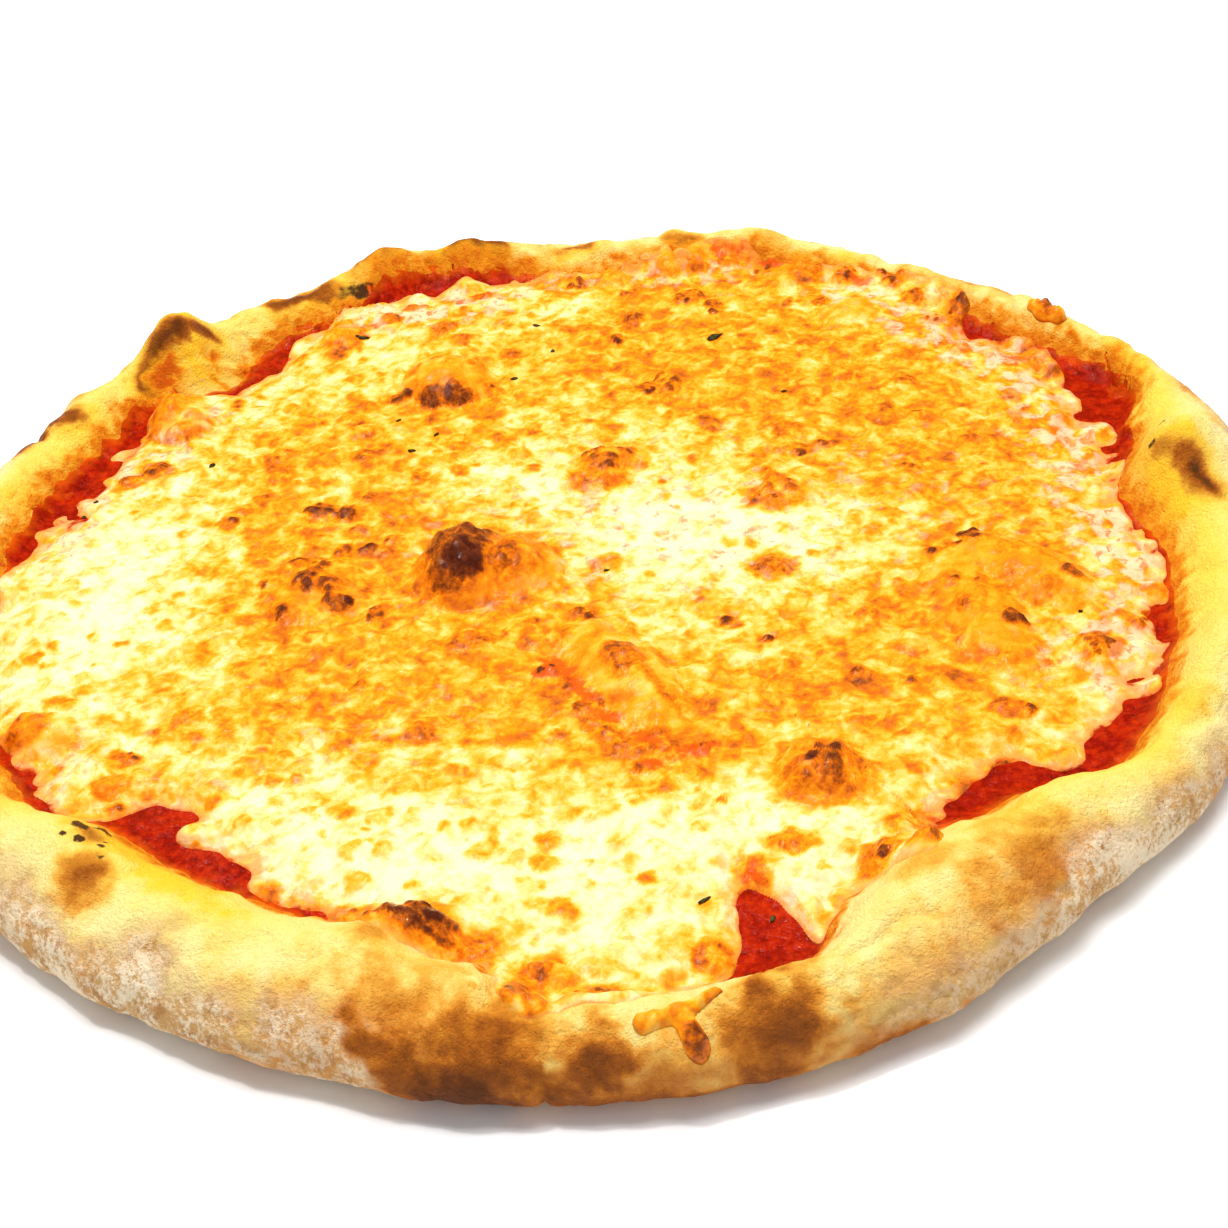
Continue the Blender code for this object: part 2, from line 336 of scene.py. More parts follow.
# %% The crust's section
COLUMNS = 960
BED_SHARES = (0.1, 0.4, 0.7, 0.9, 1.0)
SLOPE_RINGS, WALL_RINGS, TUCK_RINGS, BOTTOM_RINGS = 26, 36, 13, 24
CREST_RING = len(BED_SHARES) + SLOPE_RINGS - 1
RUN_UP = 2  # fine rings start this far before the slope does
degrees = np.arange(COLUMNS) * 360 / COLUMNS
turns = np.radians(degrees)


def crust_rings():
    """Radius, height and share for each ring.  The share goes from 0 to 1 up the inner slope, to
    2 down the wall, to 3 under to the foot, and to 4 at the middle of the underside."""
    inner, crest, outer = sauce_radius(degrees), crest_radius(degrees), outer_radius(degrees)
    height = crest_height(degrees)
    belly = BELLY_SHARE * height
    start = inner - SLOPE_START - RUN_UP
    rings = []
    for share in BED_SHARES:
        rings.append((start * share, np.full(COLUMNS, BED), 0))
    for share in np.linspace(0.03, 1, SLOPE_RINGS):
        radius = start + (crest - start) * share
        rings.append((radius, dough_top(radius, degrees), share))
    for angle in np.linspace(0, np.pi / 2, WALL_RINGS)[1:]:
        radius = crest + (outer - crest) * np.sin(angle)
        rings.append((radius, rim_top(radius, degrees), 1 + angle / (np.pi / 2)))
    for angle in np.linspace(0, np.pi / 2, TUCK_RINGS)[1:]:
        radius = outer - FOOT_INSET * (1 - np.cos(angle))
        rings.append((radius, belly * (1 - np.sin(angle)), 2 + angle / (np.pi / 2)))
    for share in np.linspace(1, 0.02, BOTTOM_RINGS)[1:]:
        rings.append(((outer - FOOT_INSET) * share, np.zeros(COLUMNS), 4 - share))
    return [np.array([np.broadcast_to(ring[k], COLUMNS) for ring in rings]) for k in range(3)]


crust_radii, crust_heights, crust_share = crust_rings()
crust_grid = np.stack([crust_radii * np.cos(turns), crust_radii * np.sin(turns), crust_heights], -1)
crust_bare = crust_grid.copy()
print("crust grid", crust_grid.shape)

# %% Creases and scorched lines
# Both ends of each crease, its depth and its width.
CREASES = (
    ((41.7, -147.4), (48.6, -144.6), 1.3, 1.3), ((48.6, -144.6), (54.1, -139.6), 1.5, 1.3),
    ((54.1, -139.6), (59.6, -140), 1.1, 1.2), ((48.6, -144.6), (55, -149), 0.6, 1.6),
    ((-14.6, -158.5), (-15.4, -166), 1, 0.8), ((-25, -136), (-31, -147), 0.9, 2.2),
    ((-31, -147), (-42, -150), 0.7, 2.2), ((-20, -140), (-24, -150), 0.9, 1.5),
    ((-13, -143), (-11, -152), 0.9, 1.6), ((-70, -124), (-84, -126), 0.6, 1.2),
    ((-66, -130), (-80, -133), 0.5, 1.2), ((-88, -104), (-94, -112), 0.7, 2),
    ((120, -94), (134, -88), 0.8, 1.6), ((141, -40), (150, -46), 0.8, 2),
    ((143, 22), (152, 24), 0.9, 1.8), ((-140, 62), (-150, 66), 0.9, 2),
    ((-147, -20), (-156, -24), 0.8, 2), ((30, 150), (33, 158), 0.9, 2),
)
# Both ends of each scorched line, its strength and its width.
SCORCHED_LINES = (
    ((142, 0), (146, -6), 0.5, 4), ((146, -6), (150.4, -15.5), 0.62, 5),
    ((147, -9), (150.2, -15), 0.8, 2.2), ((-121, 91), (-117.5, 98), 0.75, 4.2),
    ((-117.5, 98), (-110.5, 103.5), 0.85, 4), ((-110.5, 103.5), (-102, 108), 0.7, 2.8),
    ((-57, 137.5), (-47.5, 140.5), 0.8, 2.4), ((-86, 125), (-76, 131), 0.72, 4.2),
    ((-33, 148.5), (-20, 149.5), 0.72, 4), ((2, 147), (9, 146), 0.55, 3),
    ((34, 146), (42, 143), 0.55, 3), ((69, 130), (76, 126), 0.6, 3.2),
    ((102, 109), (107, 104), 0.6, 3.4), ((-146, 66), (-150, 58), 0.68, 4),
)


def along_lines(lines, uneven=0):
    """The strongest line at each point, each a bell curve of the distance to it, in widths."""
    strongest = np.zeros(crust_share.shape)
    for (x_1, y_1), (x_2, y_2), strength, width in lines:
        run_x, run_y = x_2 - x_1, y_2 - y_1
        off_x, off_y = crust_bare[..., 0] - x_1, crust_bare[..., 1] - y_1
        along = np.clip((off_x * run_x + off_y * run_y) / (run_x**2 + run_y**2), 0, 1)
        away = np.hypot(off_x - along * run_x, off_y - along * run_y) / width + uneven
        strongest = np.maximum(strongest, strength * np.exp(-(np.maximum(away, 0) ** 2)))
    return strongest


crease = along_lines(CREASES)
print("creases up to", crease.max().round(2), "mm deep")

# %% Lumps, pits, wrinkles and gas bubbles of the crust
# Angle, radius, half length, half width and height of the bubbles that bulge over the sauce.
PROUD_BUBBLES = (
    (137.5, 146, 12, 8, 4.5), (359.5, 147, 11, 8, 3), (111, 152, 9, 6, 1.5), (222, 144, 9, 7, 1.2),
)
GAS_BUBBLES = 170
GAS_HEIGHT = 0.16  # of the bubble's size
crust_normal = outward(crust_grid)
above_floor = 1 - smooth(crust_share, 2.7, 3.0)
on_rim = smooth(crust_share, 0.05, 0.3) * above_floor
lumps = 0.9 * rough(crust_grid, 15, 2, 11) + 0.3 * rough(crust_grid, 5, 2, 21)
pits = -0.35 * smooth(rough(crust_grid, 3.2, 2, 31), 0.45, 0.9)
wrinkled = smooth(rough(crust_grid, 16, 2, 37), -0.2, 0.4)
wrinkles = -0.4 * np.exp(-((rough(crust_grid, 7, 2, 35) / 0.13) ** 2)) * wrinkled
bubble_random = np.random.default_rng(7)
gas = np.zeros(crust_share.shape)
for _ in range(GAS_BUBBLES):
    angle = bubble_random.uniform(0, 360)
    share = bubble_random.uniform(0.35, 1.9)
    size = bubble_random.uniform(2.2, 6.5)
    column = int(angle / 360 * COLUMNS)
    row = int(np.argmin(np.abs(crust_share[:, column] - share)))
    away = np.linalg.norm(crust_bare - crust_bare[row, column], axis=-1) / size
    gas = np.maximum(gas, size * GAS_HEIGHT * np.clip(1 - away**2, 0, 1) ** 1.5)
for angle, middle, along, across, height in PROUD_BUBBLES:
    run = np.radians(turned_by(degrees, angle)) * crust_radii / along
    proud = height * np.exp(-(run**2) - ((crust_radii - middle) / across) ** 2)
    crust_grid[..., 2] += proud * (crust_share < 3)
skin = (lumps + pits + wrinkles + gas - crease) * on_rim
crust_grid = crust_grid + crust_normal * skin[..., None]
crust_grid[..., 2] = np.maximum(crust_grid[..., 2], 0)
print("lumps from", lumps.min().round(2), "to", lumps.max().round(2), "mm")
print("gas bubbles up to", gas.max().round(2), "mm")

# %% [markdown]
# ## Where the crust is brown, yellow, floury and stained
#
# Seven values are painted on the crust.  `brown` is high on the bubbles that stood nearest to the
# heat, and `char` marks their crisp black tops.  `brown` also rises down the lower wall to the
# foot, partly as browning and partly as painted shade under the rim's belly.  `oil` marks the inner
# slope, where fat from the cheese soaked the dough yellow, and `amber` the places where it fried.
# `flour` marks the outer wall, `stain` follows the edge of the sauce, and `under` is the side that
# lay on the oven's floor.  The patches are placed by angle and radius, as a baker would point at
# them.

# %% Patches on the rim: angle, radius, half length along it, half width across it, strength
BROWN_PATCHES = (
    (227.3, 150, 7, 8, 0.6), (223.5, 143, 8, 4, 0.52), (251, 137, 7, 6, 0.4),
    (256, 146, 9, 6, 0.28), (262, 152, 6, 6, 0.46), (296, 141, 9, 5, 0.34),
    (139.5, 155, 7, 4, 0.5), (153, 156, 9, 7, 0.66), (120, 151, 11, 6, 0.62),
    (111.6, 156, 12, 6, 0.62), (100.5, 152, 10, 5, 0.7), (90, 145, 7, 4, 0.46),
    (66, 152, 8, 4, 0.3), (1.5, 141, 5, 3, 0.36), (325, 152, 6, 4, 0.28), (175, 157, 9, 6, 0.5),
    (189, 158, 11, 7, 0.42), (203, 156, 8, 6, 0.4), (316, 157, 8, 5, 0.22), (18, 157, 12, 5, 0.3),
    (235, 138, 5, 4, 0.3), (45, 156, 9, 4, 0.22),
)
CHAR_PATCHES = (
    (153, 156, 4, 3, 0.52), (120, 150, 5, 3, 0.5), (175, 157, 4, 3, 0.46),
    (137.5, 158, 7, 2.5, 0.5), (114.5, 148.6, 8, 1.9, 0.92), (109.5, 149, 5, 1.5, 0.8),
    (356.3, 148.2, 4, 1.8, 0.7), (354.8, 150.4, 3.5, 1.8, 0.7),
)
# Small charred bubbles: angle, radius, size.
CHAR_BUBBLES = (
    (222.1, 143.3, 2), (222.3, 139.8, 1.6), (221.6, 138.2, 1.8), (223.9, 146, 1.5),
    (222.7, 147.6, 1.2), (225.4, 144, 1.2), (224.6, 141.6, 1), (218.8, 133, 1.4),
    (226.8, 146.5, 0.9), (1, 141.5, 1.1), (3, 145, 1),
)
# Deep yellow where fat fried the dough.
AMBER_PATCHES = (
    (357, 143, 12, 9, 1), (136, 149, 14, 9, 0.9), (205, 143, 34, 8, 0.7), (226, 138, 18, 8, 1),
    (233, 141, 18, 8, 1), (120, 150, 14, 6, 0.8), (104, 151, 14, 6, 0.7), (88, 144, 14, 5, 0.6),
    (58, 152, 16, 4, 0.6), (345, 147, 10, 4, 0.35), (320, 147, 16, 4, 0.25),
    (255, 139, 10, 6, 0.45), (297, 133, 12, 5, 0.4), (165, 153, 14, 6, 0.6),
    (20, 158, 16, 4, 0.5),
)
# Red smears of sauce on the dough.
SMEARS = (
    (140.5, 150, 6, 4, 1.5), (135, 145, 4, 2.5, 1.3), (131.5, 139, 7, 3.5, 1.4),
    (112, 146, 8, 3, 1.3), (104, 147, 6, 3, 1), (96, 145, 8, 3, 1.1), (70, 147, 7, 3, 1.1),
    (60, 149, 6, 2.5, 1), (51, 151, 6, 2.5, 1.3), (27, 155, 12, 4, 1.1), (357, 136, 8, 3, 1.3),
    (349, 143, 6, 3, 0.9), (125, 148, 5, 2.5, 1.1), (83, 143, 5, 3, 1.2),
)
print(len(BROWN_PATCHES) + len(CHAR_PATCHES), "browned and charred patches")

# %% Patches on the wall, and zones of the rim
# Angle, share of the section, half width in degrees, half height, strength.
WALL_PATCHES = (
    (268.2, 1.55, 2.8, 0.5, 0.74), (280.6, 1.5, 3.6, 0.7, 0.7), (260, 1.5, 5.5, 0.5, 0.62),
    (259.5, 2, 5, 0.5, 0.8), (268, 2.1, 16, 0.6, 0.46), (274, 1.55, 4, 0.5, 0.3),
    (251, 1.9, 7, 0.7, 0.36), (255, 1.8, 5, 0.7, 0.66), (260, 1.9, 7, 0.8, 0.72),
    (280, 1.7, 5, 0.8, 0.58), (302, 1.4, 6, 0.6, 0.46), (255, 1.3, 5, 0.45, 0.46),
    (264, 1.2, 4, 0.4, 0.42), (270, 2.15, 15, 0.3, 0.56), (276, 1.75, 4, 0.4, 0.42),
    (288, 2.1, 8, 0.3, 0.46), (301.5, 1.3, 5, 0.4, 0.36), (292, 1.6, 7, 0.5, 0.26),
    (244, 2, 8, 0.3, 0.26), (175, 1.6, 6, 0.5, 0.44), (190, 1.5, 5, 0.5, 0.4),
    (130, 1.6, 6, 0.5, 0.4), (100, 1.5, 8, 0.5, 0.42), (70, 1.7, 6, 0.4, 0.36),
    (40, 1.5, 7, 0.5, 0.36), (15, 1.6, 6, 0.4, 0.4), (340, 1.6, 7, 0.4, 0.36),
    (150, 1.9, 7, 0.3, 0.46), (215, 1.9, 8, 0.4, 0.34), (322, 2, 8, 0.35, 0.34),
)
# Zones are an angle, a half width in degrees and a strength: first oil on the inner slope.
OIL_ZONES = (
    (205, 28, 1), (236, 14, 0.75), (318, 22, 1), (345, 24, 1), (10, 22, 1), (155, 22, 0.9),
    (125, 22, 0.7),
)
# Where the sauce's oil climbed far up the dough.
STAIN_ZONES = (
    (38, 14, 1), (22, 8, 0.6), (105, 16, 0.8), (85, 10, 0.7), (137, 7, 0.8), (160, 10, 0.5),
    (357, 9, 0.9), (300, 8, 0.7), (318, 8, 0.5), (247, 6, 0.6), (218, 8, 0.4), (65, 12, 0.5),
)
# Where flour is thick on the wall.
FLOUR_ZONES = (
    (233, 15, 1), (249, 7, 0.75), (294, 8, 0.4), (312, 18, 0.8), (200, 22, 0.7), (60, 30, 0.9),
    (110, 30, 0.4), (345, 30, 0.6),
)


def rim_patches(patches, wobble):
    """The strongest of the patches at each point, each fading as a smooth step over its outline."""
    strongest = np.zeros(crust_share.shape)
    for angle, middle, along, across, strength in patches:
        run = np.radians(turned_by(degrees, angle)) * crust_radii / along
        away = np.hypot(run, (crust_radii - middle) / across) + wobble
        strongest = np.maximum(strongest, strength * (1 - smooth(away, 0.0, 1.6)))
    return strongest


def wall_patches(patches, wobble):
    """The same for patches that are placed by their share of the section."""
    strongest = np.zeros(crust_share.shape)
    for angle, middle, along, across, strength in patches:
        away = np.hypot(turned_by(degrees, angle) / along, (crust_share - middle) / across) + wobble
        strongest = np.maximum(strongest, strength * (1 - smooth(away, 0.1, 1.6)))
    return strongest


def zones(list_of_zones):
    """The strongest zone at each column, each a bell curve of the angle."""
    return np.max([strength * bell(degrees, *where) for *where, strength in list_of_zones], axis=0)


# %% Paint the crust
# The big bubble at the back left pushes the sauce's edge in: angle, half width, depth.
SAUCE_PUSHED_IN = (137, 6, 13)
FLOUR_UNDER, LEAST_OIL = 0.62, 0.25
wobble = 0.5 * rough(crust_grid, 10, 3, 41) + 0.25 * rough(crust_grid, 3, 2, 45)
upper = 1 - smooth(crust_share, 2.2, 2.6)
brown = rim_patches(BROWN_PATCHES, wobble) * upper
brown = np.maximum(brown, along_lines(SCORCHED_LINES, 0.8 * wobble) * upper)
patchy = smooth(rough(crust_grid, 22, 4, 51), -0.1, 0.8) * smooth(crust_share, 0.7, 1.2)
brown = np.maximum(brown, wall_patches(WALL_PATCHES, wobble))
brown = np.maximum(brown, 0.22 * patchy + 0.2 * gas)
# The lower wall and the tuck darken towards the foot: partly baked browning, partly painted shade
# under the rim's belly.
foot = smooth(crust_share, 1.7, 2.4) * above_floor * (1 - 0.8 * zones(FLOUR_ZONES))
brown = brown + (0.14 + 0.14 * patchy) * foot
char = rim_patches(CHAR_PATCHES, 1.3 * wobble) * upper
amber = rim_patches(AMBER_PATCHES, wobble) * upper
for angle, radius, size in CHAR_BUBBLES:
    along = np.radians(turned_by(degrees, angle)) * crust_radii
    away = np.hypot(along, crust_radii - radius) / size
    char = np.maximum(char, 0.95 * (1 - smooth(away, 0.6, 1.3)) * upper)
    raised = 0.25 * size * np.clip(1 - away**2, 0, 1) ** 0.7 * upper
    crust_grid = crust_grid + crust_normal * raised[..., None]
inner_edge = sauce_radius(degrees) + 1.2 * rough(crust_bare[CREST_RING], 7, 2, 61)
*pushed_at, pushed_by = SAUCE_PUSHED_IN
inner_edge = inner_edge - pushed_by * bell(degrees, *pushed_at)
past_sauce = crust_radii - inner_edge
inner_slope = (1 - smooth(crust_share, 0.75, 1.45)) * smooth(past_sauce, -6, 1)
oil = np.maximum(zones(OIL_ZONES), LEAST_OIL) * inner_slope
down_wall = crust_share + 0.25 * rough(crust_grid, 12, 3, 75)
flour = (0.3 + 0.7 * zones(FLOUR_ZONES)) * smooth(down_wall, 1.0, 1.9)
under = smooth(crust_share, 2.3, 2.9)
flour = flour * (1 - under) + FLOUR_UNDER * under
stain_reach = 3.0 + 5.0 * zones(STAIN_ZONES)
stain = 1 - smooth((past_sauce + 2.2 * rough(crust_grid, 3.5, 3, 71)) / stain_reach, -0.2, 1.0)
stain = np.maximum(stain, rim_patches(SMEARS, 1.5 * wobble)) * upper
crust = shell("baked_crust", crust_grid, {
    "brown": brown, "char": char, "oil": oil, "amber": amber, "flour": flour, "stain": stain,
    "under": under,
})

# %% Height of the finished crust
top_rings = int(np.argmax(crust_share[:, 0] >= 1.9))
top_grid = crust_grid[:top_rings]
top_radii = np.maximum.accumulate(np.hypot(top_grid[..., 0], top_grid[..., 1]))
top_heights = top_grid[..., 2]


def dough_height(x, y):
    """Height of the lumpy dough: a straight blend between rings, in each of the two nearest
    columns, then between those columns."""
    radius, angle = polar(x, y)
    place = np.mod(angle, 360) / 360 * COLUMNS
    column = np.floor(place).astype(int)
    height = 0
    for step, share in ((0, 1 - place + column), (1, place - column)):
        near = (column + step) % COLUMNS
        row = (top_radii[:, near] < radius).sum(axis=0).clip(1, len(top_radii) - 1)
        low, high = top_radii[row - 1, near], top_radii[row, near]
        blend = np.clip((radius - low) / (high - low + 1e-6), 0, 1)
        inside, outside = top_heights[row - 1, near], top_heights[row, near]
        height = height + share * (inside * (1 - blend) + outside * blend)
    return height


print("dough under the middle", dough_height(np.zeros(1), np.zeros(1)), "mm")

# %% [markdown]
# ## The sauce
#
# Crushed tomato is a wet, grainy layer, and its edge runs in small tongues up the dough.  Its
# height is a function of the place, because the cheese lies on it and needs the same function.
# Only the rings near its edge are close together, because cheese hides the rest.


# %% The sauce's surface
SAUCE_HEAP, SAUCE_DIP = 0.3, 0.35  # above its mean depth inside, and into the dough at its edge
TOP_SHARES = ((0.05, 0.4, 0.7), np.linspace(0.76, 1, 44))
HIDDEN_SHARES = (0.985, 0.94, 0.5, 0.05)
INSIDE_BED = BED - 1  # the hidden undersides of the sauce and the cheese lie at this height


def sauce_depth(radius, edge):
    """Full depth inside, thinning over the last 6 mm until it dips into the dough."""
    way_out = smooth(radius - edge, -6, 0)
    return (SAUCE_HEAP + SAUCE) * (1 - way_out) - SAUCE_DIP * way_out


def sauce_edge(angle):
    """The sauce's uneven edge at any angle."""
    radii = np.append(inner_edge, inner_edge[0])
    return np.interp(np.mod(angle, 360), np.append(degrees, 360), radii)


def dough_under(x, y):
    """The dough's height for a grid of places."""
    return dough_height(x.ravel(), y.ravel()).reshape(x.shape)


def sauce_height(x, y):
    """The dough's height, plus the sauce's depth, plus the lumps of its pulp away from its edge."""
    radius, angle = polar(x, y)
    edge = sauce_edge(angle)
    pulp = 0.35 * rough(flat_place(x, y), 5.5, 2, 81) * smooth(edge - radius, 0, 4)
    return dough_under(x, y) + sauce_depth(radius, edge) + pulp


def sauce_rings():
    """Rings over the top out to the uneven edge, then back under the dough and inside the bed."""
    shares = np.concatenate([*TOP_SHARES, HIDDEN_SHARES])[:, None]
    radius = shares * inner_edge
    x, y = radius * np.cos(turns), radius * np.sin(turns)
    height = sauce_height(x, y)
    height[-4] = dough_height(x[-4], y[-4]) - 0.6
    height[-3:] = INSIDE_BED
    return radius, np.stack([x, y, height], -1)


sauce_radii, sauce_grid = sauce_rings()
from_edge = inner_edge - sauce_radii + 1.5 * rough(sauce_grid, 4, 3, 95)
sauce = shell("tomato_sauce", sauce_grid, {"thin": 1 - smooth(from_edge, 0, 4)})

# %% [markdown]
# ## The cheese
#
# Melted cheese blisters: steam lifts domes of a few millimetres, and the thin tops brown first.
# The largest ones stand on the solid too.  The others are listed by place and size, and on each
# dark enough spot sit a few darker bubbles.  Hundreds of small ones are scattered by a seeded
# rule, browner where the whole sheet is browner.  Every place is first shifted a little by noise,
# so that no blister stays a perfect oval.  Where an oval is turned, its turn in degrees comes last.

# %% Large blisters and ridges: x, y, half length, half width, height, turn
LARGE_BLISTERS = (
    (-29, -8, 11, 12, 9), (-18, -9, 11, 10, 6.4), (-35, 81, 11, 10, 7.5),
    (7, -52, 20, 8, 4.6, -64), (103, -28, 16, 9, 5.4, -42), (90, -42, 21, 8, 4, 100),
    (46, -90, 9, 8, 2.6), (-66, -9, 12, 11, 2.4), (8, 34, 11, 7, 1.8, 20), (51, 14, 9, 7, 1.5),
    (-110, 76, 10, 8, 4.2, -50), (83, 100, 9, 7, 2.4), (-37, -124, 8, 7, 3.6),
    (-46, -121, 6, 5, 2.6), (-125, -53, 8, 6, 3.4), (65, -119, 8, 6, 3, 30), (56, -114, 5, 4, 2),
    (68, 126, 8, 7, 3), (36, 138, 9, 6, 3), (113, -58, 8, 6, 1.6), (16, 134, 7, 5, 1.8),
    (-66, 112, 6, 7, 2),
)
print(len(LARGE_BLISTERS), "large blisters and ridges")

